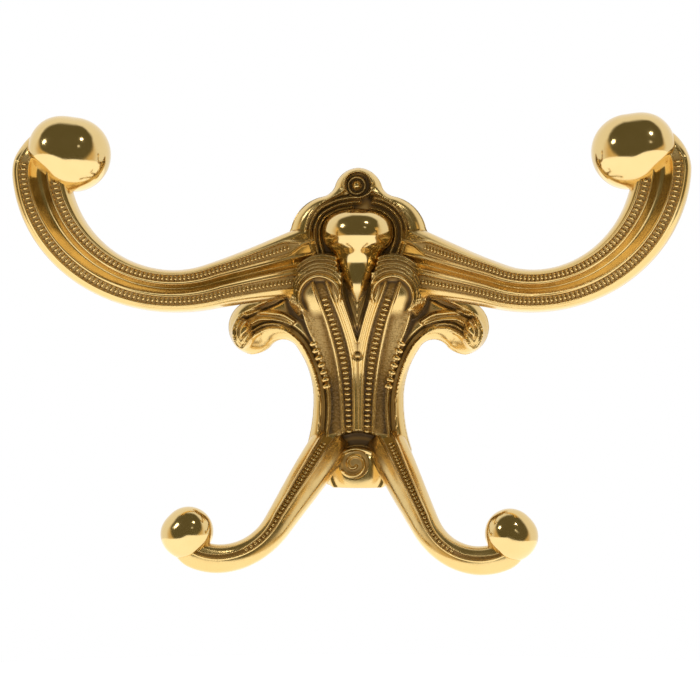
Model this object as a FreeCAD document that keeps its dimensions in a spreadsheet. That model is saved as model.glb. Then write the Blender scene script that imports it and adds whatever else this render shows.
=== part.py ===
import FreeCAD
import Part

import math
import os

# Double robe hook: one brass casting with a scrolled backplate, two long upper arms and two short lower arms.
# The wall is the plane y = 0 and the hook stands out of it towards -Y, with +Z up.
# A depth is a distance out of the wall, so y is minus the depth.

# The driving sizes, in millimetres and degrees
SIZES = [
    # Backplate outline, half of it, from the crown down to the tail
    ("plate_depth", 7.0),
    ("edge_bevel", 2.8),
    ("crown_top", 38.2),
    ("crown_side_half", 5.6),
    ("crown_side_z", 33.7),
    ("crown_neck_half", 8.6),
    ("crown_neck_z", 31.3),
    ("shoulder_half", 16.2),
    ("shoulder_z", 23.7),
    ("lobe_top_x", 24.5),
    ("lobe_top_z", 6.6),
    ("lobe_foot_x", 25.7),
    ("lobe_foot_z", -6.6),
    ("lobe_heel_x", 21.6),
    ("lobe_heel_z", -4.9),
    ("notch_x", 14.6),
    ("notch_z", -5.1),
    ("waist_half", 10.8),
    ("waist_z", -16.3),
    ("hip_half", 12.7),
    ("hip_z", -29.5),
    ("tail_half", 5.6),
    ("tail_z", -38.4),
    # Raised border that follows the outline, and the ground sunk inside it
    ("border_width", 0.6),
    ("ground_sink", 0.8),
    # Pear-shaped boss and the double moulding round it
    ("boss_top", 28.4),
    ("boss_wide_z", 22.3),
    ("boss_half", 8.6),
    ("boss_neck_z", 13.0),
    ("boss_neck_half", 3.0),
    ("boss_tip_z", 4.4),
    ("boss_axis_depth", 5.6),
    ("moulding_radius", 12.0),
    ("moulding_z", 20.6),
    ("moulding_gap", 1.7),
    ("moulding_width", 1.5),
    ("moulding_rise", 1.6),
    ("moulding_start", -34.0),
    ("moulding_sweep", 104.0),
    # Eye of the crown scroll
    ("eye_z", 34.0),
    ("eye_radius", 3.0),
    ("eye_depth", 1.3),
    ("eye_bead_radius", 1.3),
    # Ruffled leaf caps either side of the boss: nested arches that crowd together at their outer foot
    ("cap_x", 8.0),
    ("cap_z", 9.4),
    ("cap_radius", 8.9),
    ("cap_depth", 15.0),
    ("fold_gap", 1.45),
    ("fold_drop", 0.95),
    ("fold_width", 5.6),
    ("fold_shift_x", 0.33),
    ("fold_shift_z", 0.58),
    ("fold_start", -44.0),
    ("fold_inner_x", 3.0),
    ("fold_dip", 6.0),
    # Crisp ridges of the two leaves and the rib between them
    ("ridge_width", 1.3),
    ("ridge_rise", 1.1),
    ("rib_top_z", -4.8),
    ("rib_foot_z", -26.0),
    ("leaf_outer_x", 9.6),
    ("leaf_inner_x", 5.2),
    ("leaf_foot_x", 3.4),
    ("leaf_bow", 1.4),
    # Acanthus curl on each side lobe
    ("curl_x", 27.4),
    ("curl_z", -0.9),
    ("curl_radius", 3.6),
    ("curl_top_share", 0.55),
    ("curl_depth", 8.8),
    # Upper arm: straight out of the plate, an arc, then a tighter curl
    ("arm_root_x", 10.5),
    ("arm_sweep_x", 40.5),
    ("arm_sweep_z", 36.4),
    ("arm_sweep_radius", 28.2),
    ("arm_start_angle", -112.0),
    ("arm_turn_angle", -4.0),
    ("arm_curl_radius", 7.0),
    ("arm_end_angle", 66.0),
    ("arm_root_depth", 3.4),
    ("arm_tip_depth", 38.4),
    ("arm_root_width", 17.0),
    ("arm_mid_width", 10.0),
    ("arm_tip_width", 13.6),
    ("arm_end_width", 8.4),
    ("arm_root_thickness", 5.4),
    ("arm_thickness", 9.0),
    ("arm_ball_radius", 8.4),
    ("arm_ball_x", 62.5),
    ("arm_ball_z", 38.7),
    ("arm_ball_depth", 38.2),
    # Lower arm: straight out of the plate, an arc, then a tighter curl
    ("leg_root_x", 6.4),
    ("leg_sweep_x", 29.0),
    ("leg_sweep_z", -38.0),
    ("leg_sweep_radius", 14.0),
    ("leg_start_angle", -149.0),
    ("leg_turn_angle", -66.0),
    ("leg_curl_radius", 4.8),
    ("leg_end_angle", -2.0),
    ("leg_root_depth", 3.4),
    ("leg_tip_depth", 40.0),
    ("leg_root_width", 10.6),
    ("leg_mid_width", 6.4),
    ("leg_tip_width", 6.6),
    ("leg_end_width", 5.0),
    ("leg_root_thickness", 6.0),
    ("leg_thickness", 6.4),
    ("leg_ball_radius", 5.6),
    ("leg_ball_x", 36.1),
    ("leg_ball_z", -45.8),
    ("leg_ball_depth", 40.0),
    # Channel along the face of every arm, as shares of its width, and how far it is sunk
    ("flank_share", 0.38),
    ("flute_share", 0.15),
    ("channel_sink", 0.8),
    ("flute_sink", 1.5),
    # Arch over the lower arms, the tail boss and its scroll
    ("arch_radius", 6.4),
    ("arch_z", -31.6),
    ("arch_width", 2.4),
    ("arch_rise", 2.2),
    ("tail_boss_radius", 5.2),
    ("tail_boss_z", -33.0),
    ("tail_boss_depth", 9.8),
    ("scroll_radius", 2.4),
    # Tapped holes in the back for concealed M4 studs
    ("stud_hole_radius", 1.65),
    ("stud_hole_depth", 5.2),
    ("stud_spacing", 40.0),
]

# Bulge of each arc of the outline: its rise over its chord, positive away from the plate
CROWN_BULGE = 0.17
NECK_BULGE = -0.12
SHOULDER_BULGE = 0.15
LOBE_BULGE = 0.47
HEEL_BULGE = 0.08
NOTCH_BULGE = -0.29
WAIST_BULGE = -0.07
HIP_BULGE = -0.045
TAIL_BULGE = 0.18

# Sections along an arm's straight run and its curl, and the degrees between those of its sweep
RUN_SECTIONS = 2
SWEEP_STEP = 11
CURL_SECTIONS = 3

# Facets round the back of an arm's section, the outline's turn in radians at each of its corners,
# folds of a ruffled cap, and steps along a fold, a ridge or a moulding
BACK_FACETS = 7
OUTLINE_TURN = 0.4
CAP_FOLDS = 4
FOLD_STEPS = 7
RIDGE_STEPS = 4
MOULDING_STEPS = 8

doc = FreeCAD.newDocument("DoubleRobeHook")
sheet = doc.addObject("Spreadsheet::Sheet", "sizes")
for row, (alias, value) in enumerate(SIZES, start=1):
    sheet.set(f"A{row}", alias)
    sheet.set(f"B{row}", str(value))
    sheet.setAlias(f"B{row}", alias)
doc.recompute()


def size(alias):
    """The number in the sheet's cell of that name."""
    return float(sheet.get(alias))


def at(x, depth, z):
    """A point from its distance out of the wall."""
    return FreeCAD.Vector(x, -depth, z)


def bind(item, **sizes):
    """Bind properties of a document object to expressions of the sheet."""
    for name, formula in sizes.items():
        item.setExpression(name, formula)


def move(item, x, depth, z):
    """Bind the position of an object to expressions of the sheet."""
    item.setExpression("Placement.Base.x", x)
    item.setExpression("Placement.Base.y", f"-({depth})")
    item.setExpression("Placement.Base.z", z)


def join(name, items):
    """One solid from several."""
    union = doc.addObject("Part::MultiFuse", name)
    union.Shapes = items
    return union


def cut(name, base, tool):
    """What is left of a solid when another is taken away."""
    result = doc.addObject("Part::Cut", name)
    result.Base = base
    result.Tool = tool
    return result


def mirrored(item):
    """The same solid on the other side of the hook."""
    twin = doc.addObject("Part::Mirroring", f"{item.Name}_mirrored")
    twin.Source = item
    twin.Base = FreeCAD.Vector(0, 0, 0)
    twin.Normal = FreeCAD.Vector(1, 0, 0)
    return twin


def half_outline():
    """Points of the right half of the backplate outline, from the crown down to the tail."""
    nodes = [
        (0.0, size("crown_top"), CROWN_BULGE),
        (size("crown_side_half"), size("crown_side_z"), NECK_BULGE),
        (size("crown_neck_half"), size("crown_neck_z"), SHOULDER_BULGE),
        (size("shoulder_half"), size("shoulder_z"), 0.0),
        (size("lobe_top_x"), size("lobe_top_z"), LOBE_BULGE),
        (size("lobe_foot_x"), size("lobe_foot_z"), HEEL_BULGE),
        (size("lobe_heel_x"), size("lobe_heel_z"), NOTCH_BULGE),
        (size("notch_x"), size("notch_z"), WAIST_BULGE),
        (size("waist_half"), size("waist_z"), HIP_BULGE),
        (size("hip_half"), size("hip_z"), TAIL_BULGE),
        (size("tail_half"), size("tail_z"), 0.0),
    ]
    points = []
    for (x1, z1, bulge), (x2, z2, _) in zip(nodes, nodes[1:]):
        half_turn = 2 * math.atan(2 * bulge)
        steps = max(1, math.ceil(abs(half_turn) * 2 / OUTLINE_TURN))
        for index in range(steps):
            share = index / steps
            if bulge:
                angle = half_turn * (1 - 2 * share)
                along = 0.5 - math.sin(angle) / math.sin(half_turn) / 2
                rise = (math.cos(angle) - math.cos(half_turn)) / math.sin(half_turn) / 2
            else:
                along, rise = share, 0.0
            points.append(
                (x1 + (x2 - x1) * along + rise * (z1 - z2), z1 + (z2 - z1) * along + rise * (x2 - x1))
            )
    return points + [(nodes[-1][0], nodes[-1][1])]


def outline(inset, depth):
    """The whole backplate outline moved in by a distance, at a depth."""
    right = half_outline()
    points = right + [(-x, z) for x, z in reversed(right[1:])]
    corners = []
    for index, (x, z) in enumerate(points):
        before = points[index - 1]
        after = points[(index + 1) % len(points)]
        first = math.atan2(z - before[1], x - before[0])
        last = math.atan2(after[1] - z, after[0] - x)
        half_turn = math.remainder(last - first, 2 * math.pi) / 2
        reach = inset / math.cos(half_turn)
        facing = first + half_turn - math.pi / 2
        corners.append(at(x + reach * math.cos(facing), depth, z + reach * math.sin(facing)))
    return Part.makePolygon(corners + corners[:1])


def make_plate():
    """Backplate with an upright side and a bevelled flank, its ground sunk inside a raised border."""
    depth = size("plate_depth")
    bevel = size("edge_bevel")
    plate = doc.addObject("Part::Feature", "backplate")
    plate.Shape = Part.makeLoft([outline(0, 0), outline(0, depth - bevel), outline(bevel, depth)], True, True)
    ground = doc.addObject("Part::Feature", "ground_cut")
    inner = outline(bevel + size("border_width"), depth - size("ground_sink"))
    ground.Shape = Part.Face(inner).extrude(at(0, depth, 0))
    return plate, ground


def sketch_curve(points):
    """A line or an arc as sketch geometry."""
    vectors = [FreeCAD.Vector(x, z, 0) for x, z in points]
    return Part.Arc(*vectors) if len(vectors) == 3 else Part.LineSegment(*vectors)


def make_boss():
    """Pear-shaped boss, turned about an upright axis sunk in the plate."""
    top, wide, neck, tip = [size(f"boss_{part}") for part in ("top", "wide_z", "neck_z", "tip_z")]
    half, thin = size("boss_half"), size("boss_neck_half")
    swell = (half - thin) / 6
    cap = [(0, top), (half * 0.71, wide + (top - wide) * 0.71), (half, wide)]
    side = [(half, wide), ((half + thin) / 2 + swell, (wide + neck) / 2 - swell), (thin, neck)]
    body = doc.addObject("PartDesign::Body", "boss")
    sketch = body.newObject("Sketcher::SketchObject", "boss_profile")
    plane = next(item for item in body.Origin.OriginFeatures if item.Role == "XZ_Plane")
    sketch.AttachmentSupport = [(plane, "")]
    sketch.MapMode = "FlatFace"
    for points in (cap, side, [(thin, neck), (0, tip)], [(0, tip), (0, top)]):
        sketch.addGeometry(sketch_curve(points), False)
    turn = body.newObject("PartDesign::Revolution", "boss_turn")
    turn.Profile = sketch
    turn.ReferenceAxis = (sketch, ["V_Axis"])
    turn.Angle = 360
    body.Tip = turn
    move(body, "0", "sizes.boss_axis_depth", "0")
    return body


def make_ball(name, radius, x, depth, z):
    """Ball that stands on the casting or at the tip of an arm."""
    ball = doc.addObject("Part::Sphere", name)
    bind(ball, Radius=radius)
    move(ball, x, depth, z)
    return ball


def make_tip_ball(name, prefix):
    """Ball knob at the tip of an arm."""
    spot = [f"sizes.{prefix}_ball_{part}" for part in ("x", "depth", "z")]
    return make_ball(name, f"sizes.{prefix}_ball_radius", *spot)


def make_strip(name, points, width, rise, end_dip=0.0):
    """Crisp ridge of triangular section along points of the plate's face, its ends dipped by a distance."""
    ground = size("plate_depth") - size("ground_sink")
    foot = ground - size("ridge_rise") / 2
    sections = []
    for index, (x, z) in enumerate(points):
        before = points[max(index - 1, 0)]
        after = points[min(index + 1, len(points) - 1)]
        run = math.hypot(after[0] - before[0], after[1] - before[1])
        dip = end_dip if index in (0, len(points) - 1) else 0.0
        side_x = (before[1] - after[1]) / run * width / 2
        side_z = (after[0] - before[0]) / run * width / 2
        left = at(x + side_x, foot - dip, z + side_z)
        right = at(x - side_x, foot - dip, z - side_z)
        sections.append(Part.makePolygon([left, at(x, ground + rise - dip, z), right, left]))
    strip = doc.addObject("Part::Feature", name)
    strip.Shape = Part.makeLoft(sections, True, True)
    return strip


def arc_points(x, z, radius, start, sweep, steps):
    """Points along an arc of the plate's face."""
    angles = [math.radians(start + sweep * index / steps) for index in range(steps + 1)]
    return [(x + radius * math.cos(angle), z + radius * math.sin(angle)) for angle in angles]


def bowed_points(foot, head, bow):
    """Points along a line of the plate's face that bows sideways."""
    points = []
    for index in range(RIDGE_STEPS + 1):
        share = index / RIDGE_STEPS
        x = foot[0] + (head[0] - foot[0]) * share + bow * math.sin(math.pi * share)
        points.append((x, foot[1] + (head[1] - foot[1]) * share))
    return points


def make_mouldings():
    """Double line of moulding that frames the boss on the right."""
    strips = []
    for name, inset in (("outer", 0.0), ("inner", size("moulding_gap"))):
        radius = size("moulding_radius") - inset
        arc = (size("moulding_start"), size("moulding_sweep"), MOULDING_STEPS)
        points = arc_points(0, size("moulding_z"), radius, *arc)
        strips.append(make_strip(f"moulding_{name}", points, size("moulding_width"), size("moulding_rise")))
    return strips


def make_eye():
    """Recess of the crown scroll, and the bead that stands in it."""
    recess = doc.addObject("Part::Cone", "eye_recess")
    bind(recess, Radius1="sizes.eye_radius - sizes.eye_depth", Radius2="sizes.eye_radius + sizes.eye_depth")
    bind(recess, Height="sizes.eye_depth * 2")
    recess.Placement.Rotation = FreeCAD.Rotation(FreeCAD.Vector(1, 0, 0), 90)
    move(recess, "0", "sizes.plate_depth - sizes.eye_depth", "sizes.eye_z")
    bead = doc.addObject("Part::Cone", "eye_bead")
    bind(bead, Radius1="sizes.eye_bead_radius", Radius2="sizes.eye_bead_radius / 2")
    bind(bead, Height="sizes.plate_depth")
    bead.Placement.Rotation = FreeCAD.Rotation(FreeCAD.Vector(1, 0, 0), 90)
    move(bead, "0", "sizes.eye_bead_radius / 2", "sizes.eye_z")
    return recess, bead


def make_cap():
    """Ruffled leaf cap on the right: folds nested one inside another, the inmost the highest."""
    folds = []
    for step in range(CAP_FOLDS):
        inset = size("fold_gap") * step
        radius = size("cap_radius") - inset
        x = size("cap_x") + size("fold_shift_x") * inset
        z = size("cap_z") - size("fold_shift_z") * inset
        reach = max(-1.0, (size("fold_inner_x") - x) / radius)
        start = size("fold_start")
        points = arc_points(x, z, radius, start, math.degrees(math.acos(reach)) - start, FOLD_STEPS)
        rise = size("cap_depth") - size("plate_depth") + size("ground_sink")
        rise -= size("fold_drop") * (CAP_FOLDS - 1 - step)
        name = f"cap_fold_{step + 1}"
        folds.append(make_strip(name, points, size("fold_width"), rise, size("fold_dip")))
    return folds


def make_leaf():
    """Ridges of the right leaf, from under the ruffled cap down to the arch."""
    wide = size("ridge_width")
    bow = size("leaf_bow")
    outer = size("leaf_outer_x")
    inner = size("leaf_inner_x")
    foot_x = size("leaf_foot_x")
    foot_z = size("rib_foot_z")
    head_z = size("cap_z")
    lines = [
        ((outer - bow, foot_z), (outer + bow, head_z), -bow),
        ((foot_x + wide, foot_z), ((outer + inner) / 2 + bow, head_z), -bow / 2),
        ((foot_x - wide / 2, foot_z), (inner, head_z), -bow / 2),
    ]
    return [
        make_strip(f"leaf_ridge_{index}", bowed_points(*line), wide, size("ridge_rise"))
        for index, line in enumerate(lines, start=1)
    ]


def make_rib():
    """Rib down the middle between the two leaves."""
    points = [(0, size("rib_foot_z")), (0, size("rib_top_z"))]
    return make_strip("centre_rib", points, size("ridge_width"), size("ridge_rise"))


def make_side_curl():
    """Acanthus curl on the right lobe, with two fan ridges that run in towards the plate."""
    radius = size("curl_radius")
    knob = doc.addObject("Part::Cone", "curl_knob")
    bind(knob, Radius1="sizes.curl_radius", Radius2="sizes.curl_radius * sizes.curl_top_share")
    bind(knob, Height="sizes.curl_depth - sizes.edge_bevel")
    knob.Placement.Rotation = FreeCAD.Rotation(FreeCAD.Vector(1, 0, 0), 90)
    move(knob, "sizes.curl_x", "sizes.edge_bevel", "sizes.curl_z")
    items = [knob]
    for step in (1, 2):
        x = size("curl_x") - radius * 1.1 * step
        foot, head = (x, size("curl_z") - radius * 0.9), (x, size("curl_z") + radius)
        points = bowed_points(foot, head, size("leaf_bow"))
        wide, rise = size("ridge_width") * 2, size("ridge_rise") * 1.5
        items.append(make_strip(f"curl_fan_{step}", points, wide, rise))
    return items


class Arm:
    """Route and section of a hook arm, read from the sheet by the arm's prefix."""

    def __init__(self, prefix):
        self.prefix = prefix
        self.centre = (self.of("sweep_x"), self.of("sweep_z"))
        self.radius = self.of("sweep_radius")
        self.curl = self.of("curl_radius")
        self.start = math.radians(self.of("start_angle"))
        self.turn = math.radians(self.of("turn_angle"))
        end = math.radians(self.of("end_angle"))
        x, _ = self.on_circle(self.centre, self.radius, self.start)
        run = (x - self.of("root_x")) / -math.sin(self.start)
        self.lengths = (run, self.radius * (self.turn - self.start), self.curl * (end - self.turn))

    def of(self, name):
        """This arm's own value of a size."""
        return size(f"{self.prefix}_{name}")

    @staticmethod
    def on_circle(centre, radius, angle):
        """The point of a circle in the wall plane at an angle."""
        return centre[0] + radius * math.cos(angle), centre[1] + radius * math.sin(angle)

    def plan(self, along):
        """Position in the wall plane at a distance along the arm."""
        run, sweep, _ = self.lengths
        if along <= run:
            x, z = self.on_circle(self.centre, self.radius, self.start)
            left = run - along
            return x + left * math.sin(self.start), z - left * math.cos(self.start)
        if along <= run + sweep:
            return self.on_circle(self.centre, self.radius, self.start + (along - run) / self.radius)
        hub = self.on_circle(self.centre, self.radius - self.curl, self.turn)
        return self.on_circle(hub, self.curl, self.turn + (along - run - sweep) / self.curl)

    def point(self, along):
        """Centre of the section, which climbs out of the wall and then levels off."""
        x, z = self.plan(along)
        climb = math.sin(math.pi / 2 * min(1.0, along / (self.lengths[0] + self.lengths[1])))
        return at(x, self.of("root_depth") + (self.of("tip_depth") - self.of("root_depth")) * climb, z)

    def width(self, along):
        """Width of the section: it narrows into the sweep, swells and narrows again in the curl."""
        run, sweep, _ = self.lengths
        distances = (0.0, run + sweep * 0.35, run + sweep, sum(self.lengths))
        names = ("root_width", "mid_width", "tip_width", "end_width")
        stops = list(zip(distances, names))
        for (first, wide), (last, next_wide) in zip(stops, stops[1:]):
            if along <= last:
                blend = (1 - math.cos(math.pi * (along - first) / (last - first))) / 2
                return self.of(wide) + (self.of(next_wide) - self.of(wide)) * blend
        return self.of("end_width")

    def thickness(self, along):
        """Thickness of the section, which is thinner at the root so that it starts inside the plate."""
        blend = min(1.0, along / self.lengths[0])
        return self.of("root_thickness") + (self.of("thickness") - self.of("root_thickness")) * blend

    def section(self, along):
        """Channelled section across the arm: a round back, two crisp rims, two bead channels and a flute."""
        step = 0.05
        centre = self.point(along)
        tangent = (self.point(along + step) - self.point(along - step)).normalize()
        front = FreeCAD.Vector(0, -1, 0)
        front = (front - tangent * front.dot(tangent)).normalize()
        side = tangent.cross(front)
        width = self.width(along)
        rise = self.thickness(along) / 2
        rim = size("flank_share")
        flute = size("flute_share")
        shoulder = math.radians(50)
        turn = (math.pi + 2 * shoulder) / BACK_FACETS
        angles = [shoulder - turn * index for index in range(1, BACK_FACETS)]
        face = [(flute / 2, rise - size("flute_sink")), (flute, rise)]
        face += [((rim + flute) / 2, rise - size("channel_sink")), (rim, rise)]
        outline = face + [(0.5 * math.cos(angle), rise * math.sin(angle)) for angle in angles]
        outline += [(-across, out) for across, out in reversed(face)]
        corners = [centre + side * (across * width) + front * out for across, out in outline]
        return Part.makePolygon(corners + corners[:1])

    def stations(self):
        """Distances along the arm where its sections stand."""
        found = [0.0]
        sweep_sections = math.ceil(math.degrees(self.turn - self.start) / SWEEP_STEP)
        for length, count in zip(self.lengths, (RUN_SECTIONS, sweep_sections, CURL_SECTIONS)):
            done = found[-1]
            found += [done + length * (index + 1) / count for index in range(count)]
        return found


def make_arm(name, prefix):
    """Arm lofted through its sections."""
    arm = Arm(prefix)
    item = doc.addObject("Part::Feature", name)
    item.Shape = Part.makeLoft([arm.section(along) for along in arm.stations()], True, True)
    return item


def make_tail():
    """Arch over the lower arms, the tail boss and its small scroll."""
    points = arc_points(0, size("arch_z"), size("arch_radius"), 0, 180, MOULDING_STEPS)
    arch = make_strip("arch", points, size("arch_width"), size("arch_rise"))
    boss = doc.addObject("Part::Cone", "tail_boss")
    bind(boss, Radius1="sizes.tail_boss_radius", Radius2="sizes.tail_boss_radius * 0.7")
    bind(boss, Height="sizes.tail_boss_depth - sizes.edge_bevel")
    boss.Placement.Rotation = FreeCAD.Rotation(FreeCAD.Vector(1, 0, 0), 90)
    move(boss, "0", "sizes.edge_bevel", "sizes.tail_boss_z")
    points = arc_points(0, size("tail_boss_z"), size("scroll_radius"), -150, 300, MOULDING_STEPS)
    rise = size("tail_boss_depth") - size("plate_depth") + size("ground_sink") + size("ridge_rise") / 2
    return [arch, boss, make_strip("tail_scroll", points, size("ridge_width"), rise)]


def make_cutters():
    """All that lies behind the wall plane or left of the middle, and two blind holes in the back."""
    cutters = []
    long = "sizes.lobe_top_x * 4"
    corners = (("behind_wall", "-sizes.lobe_top_x", "0"), ("left_half", f"-{long}", "-sizes.arm_tip_depth"))
    for name, x, y in corners:
        box = doc.addObject("Part::Box", name)
        bind(box, Length=long, Width="sizes.arm_tip_depth * 2", Height="sizes.crown_top * 4")
        move(box, x, f"-({y})", "-sizes.crown_top * 2")
        cutters.append(box)
    for name, side in (("stud_hole_top", "0.5"), ("stud_hole_foot", "-0.5")):
        hole = doc.addObject("Part::Cylinder", name)
        bind(hole, Radius="sizes.stud_hole_radius", Height="sizes.stud_hole_depth * 2")
        hole.Placement.Rotation = FreeCAD.Rotation(FreeCAD.Vector(1, 0, 0), 90)
        move(hole, "0", "-sizes.stud_hole_depth", f"sizes.stud_spacing * {side}")
        cutters.append(hole)
    return cutters


def make_casting():
    """The whole hook as one casting: the right half, and its mirror image."""
    recess, bead = make_eye()
    blank_plate, ground = make_plate()
    plate = cut("plate_sunk", blank_plate, join("plate_cutters", [ground, recess]))
    relief = [plate, make_boss(), make_rib(), bead]
    relief += make_cap() + make_tail() + make_mouldings() + make_leaf() + make_side_curl()
    body = join("relief", relief)
    arms = [make_arm("upper_arm", "arm"), make_arm("lower_arm", "leg")]
    balls = [make_tip_ball("upper_ball", "arm"), make_tip_ball("lower_ball", "leg")]
    blank = join("blank", [join("body_and_arms", [body] + arms)] + balls)
    half = cut("right_half", blank, join("cutters", make_cutters()))
    doc.recompute()
    casting = join("hook_casting", [half, mirrored(half)])
    casting.Label = "hook_casting"
    doc.recompute()
    return casting


def check(casting):
    """Stop with the names of the features that failed, if any did."""
    failed = [item.Name for item in doc.Objects if "Invalid" in item.State or "Error" in item.State]
    shape = casting.Shape
    if shape.isNull() or not shape.isValid() or len(shape.Solids) != 1:
        failed.append(casting.Name)
    if failed:
        raise RuntimeError("failed: " + ", ".join(failed))


def main():
    """Build the hook and write its solid."""
    casting = make_casting()
    check(casting)
    os.makedirs("parts", exist_ok=True)
    casting.Shape.exportStep(f"parts/{casting.Label}.step")
    print(f"{casting.Label}: {len(casting.Shape.Faces)} faces, volume {casting.Shape.Volume:.0f} mm3")


main()
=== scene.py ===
"""Looks of a double robe hook: one brass casting with a carved cartouche, scrolled arms and ball knobs."""

import logging
import math
from collections.abc import Sequence
from dataclasses import asdict, dataclass, field, fields
from enum import Enum
from typing import NamedTuple

import bmesh
import bpy
import numpy as np
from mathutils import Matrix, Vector
from mathutils.geometry import delaunay_2d_cdt


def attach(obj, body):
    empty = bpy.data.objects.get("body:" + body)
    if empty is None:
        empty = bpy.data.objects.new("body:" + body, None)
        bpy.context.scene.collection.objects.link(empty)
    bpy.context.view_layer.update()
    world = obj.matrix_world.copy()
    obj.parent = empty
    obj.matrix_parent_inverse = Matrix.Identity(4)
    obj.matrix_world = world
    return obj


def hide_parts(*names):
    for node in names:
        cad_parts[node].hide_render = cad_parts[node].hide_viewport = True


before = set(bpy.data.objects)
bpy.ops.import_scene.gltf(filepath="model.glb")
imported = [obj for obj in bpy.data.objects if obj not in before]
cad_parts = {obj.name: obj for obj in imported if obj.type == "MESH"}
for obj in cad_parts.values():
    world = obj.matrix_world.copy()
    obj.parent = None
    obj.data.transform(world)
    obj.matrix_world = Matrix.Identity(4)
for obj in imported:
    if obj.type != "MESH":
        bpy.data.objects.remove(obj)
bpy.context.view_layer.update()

log = logging.getLogger("robe_hook")
MM = 0.001
NODE = "hook_casting"
WELD_GAP = 2e-6
SLIVER_GAP = 1e-7
WALL_GAP = 1e-6
Path = Sequence[tuple[float, float]]
Colour = tuple[float, float, float]
Socket = bpy.types.NodeSocket


class Side(Enum):
    """Side of the hook as seen from the room."""

    RIGHT = 1
    LEFT = -1


def ease(low: float, high: float, value: np.ndarray) -> np.ndarray:
    """Smooth step from 0 at low to 1 at high."""
    share = np.clip((value - low) / (high - low), 0.0, 1.0)
    return share * share * (3 - 2 * share)


def smooth_path(points: Path, step: float = 0.35) -> np.ndarray:
    """Dense smooth curve through control points.

    Args:
        points: control points in millimetres.
        step: rough distance between two samples.

    Returns:
        Array of points, one row each.
    """
    corners = np.array(points, float)
    padded = np.vstack([2 * corners[0] - corners[1], corners, 2 * corners[-1] - corners[-2]])
    samples = []
    for before, first, last, after in zip(padded, padded[1:], padded[2:], padded[3:]):
        count = max(2, int(np.linalg.norm(last - first) / step))
        t = np.linspace(0, 1, count, endpoint=False)[:, None]
        samples.append(
            0.5
            * (
                2 * first
                + (last - before) * t
                + (2 * before - 5 * first + 4 * last - after) * t**2
                + (3 * first - before - 3 * last + after) * t**3
            )
        )
    return np.vstack(samples + [corners[-1:]])


def offset_path(curve: np.ndarray, distance: float) -> np.ndarray:
    """Curve moved sideways.

    Args:
        curve: points of the curve, one row each.
        distance: how far it moves, to its left when positive.

    Returns:
        The moved points.
    """
    run = np.gradient(curve, axis=0)
    run /= np.linalg.norm(run, axis=1)[:, None] + 1e-9
    return curve + np.stack([-run[:, 1], run[:, 0]], axis=1) * distance


def path_field(
    x: np.ndarray, z: np.ndarray, curve: np.ndarray, closed: bool = False
) -> tuple[np.ndarray, np.ndarray, np.ndarray]:
    """Distance field of a path.

    Args:
        x: sample positions across.
        z: sample positions upwards.
        curve: points of the path.
        closed: whether the last point joins the first.

    Returns:
        Distance to the path, and the x and z of its nearest point.
    """
    ends = np.vstack([curve, curve[:1]]) if closed else curve
    best = np.full(x.shape, np.inf)
    near_x, near_z = np.zeros(x.shape), np.zeros(x.shape)
    for (x1, z1), (x2, z2) in zip(ends, ends[1:]):
        length = math.hypot(x2 - x1, z2 - z1)
        if length < 1e-9:
            continue
        t = np.clip(((x - x1) * (x2 - x1) + (z - z1) * (z2 - z1)) / length**2, 0, 1)
        px, pz = x1 + t * (x2 - x1), z1 + t * (z2 - z1)
        gap = np.hypot(x - px, z - pz)
        closer = gap < best
        best = np.where(closer, gap, best)
        near_x, near_z = np.where(closer, px, near_x), np.where(closer, pz, near_z)
    return best, near_x, near_z


def inside(x: np.ndarray, z: np.ndarray, corners: np.ndarray) -> np.ndarray:
    """Which points lie inside a closed polygon.

    Args:
        x: sample positions across.
        z: sample positions upwards.
        corners: corners of the polygon.

    Returns:
        True inside, False outside.
    """
    found = np.zeros(x.shape, bool)
    for (x1, z1), (x2, z2) in zip(corners, np.roll(corners, -1, axis=0)):
        if z1 != z2:
            crosses = (z1 > z) != (z2 > z)
            found ^= crosses & (x < (x2 - x1) * (z - z1) / (z2 - z1) + x1)
    return found


def crest(distance: np.ndarray, width: float) -> np.ndarray:
    """Crisp rounded ridge: 1 on its line and 0 from half its width on."""
    share = np.clip(1 - 2 * distance / width, 0.0, 1.0)
    return share * (2 - share) * (0.4 + 0.6 * share)


def dome(distance: np.ndarray) -> np.ndarray:
    """Half-round dome: 1 at its middle and 0 from a distance of 1 on."""
    return np.sqrt(np.clip(1 - distance**2, 0, 1))


def blurred(values: np.ndarray, mask: np.ndarray, cells: int, passes: int = 3) -> np.ndarray:
    """Box blur of a grid inside a mask.

    Args:
        values: the grid.
        mask: True where the grid counts.
        cells: reach of the box on each side of a point.
        passes: how often the box runs along each axis.

    Returns:
        The blurred grid.
    """
    weight = mask.astype(float)
    total = values * weight
    span = 2 * cells + 1
    for axis in (0, 1):
        margins = [(0, 0), (0, 0)]
        margins[axis] = (cells + 1, cells)
        for _ in range(passes):
            for grid in (total, weight):
                sums = np.cumsum(np.pad(grid, margins, mode="edge"), axis=axis)
                upper = np.take(sums, range(span, sums.shape[axis]), axis=axis)
                lower = np.take(sums, range(0, sums.shape[axis] - span), axis=axis)
                grid[...] = (upper - lower) / span
    return total / np.maximum(weight, 1e-6)


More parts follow.
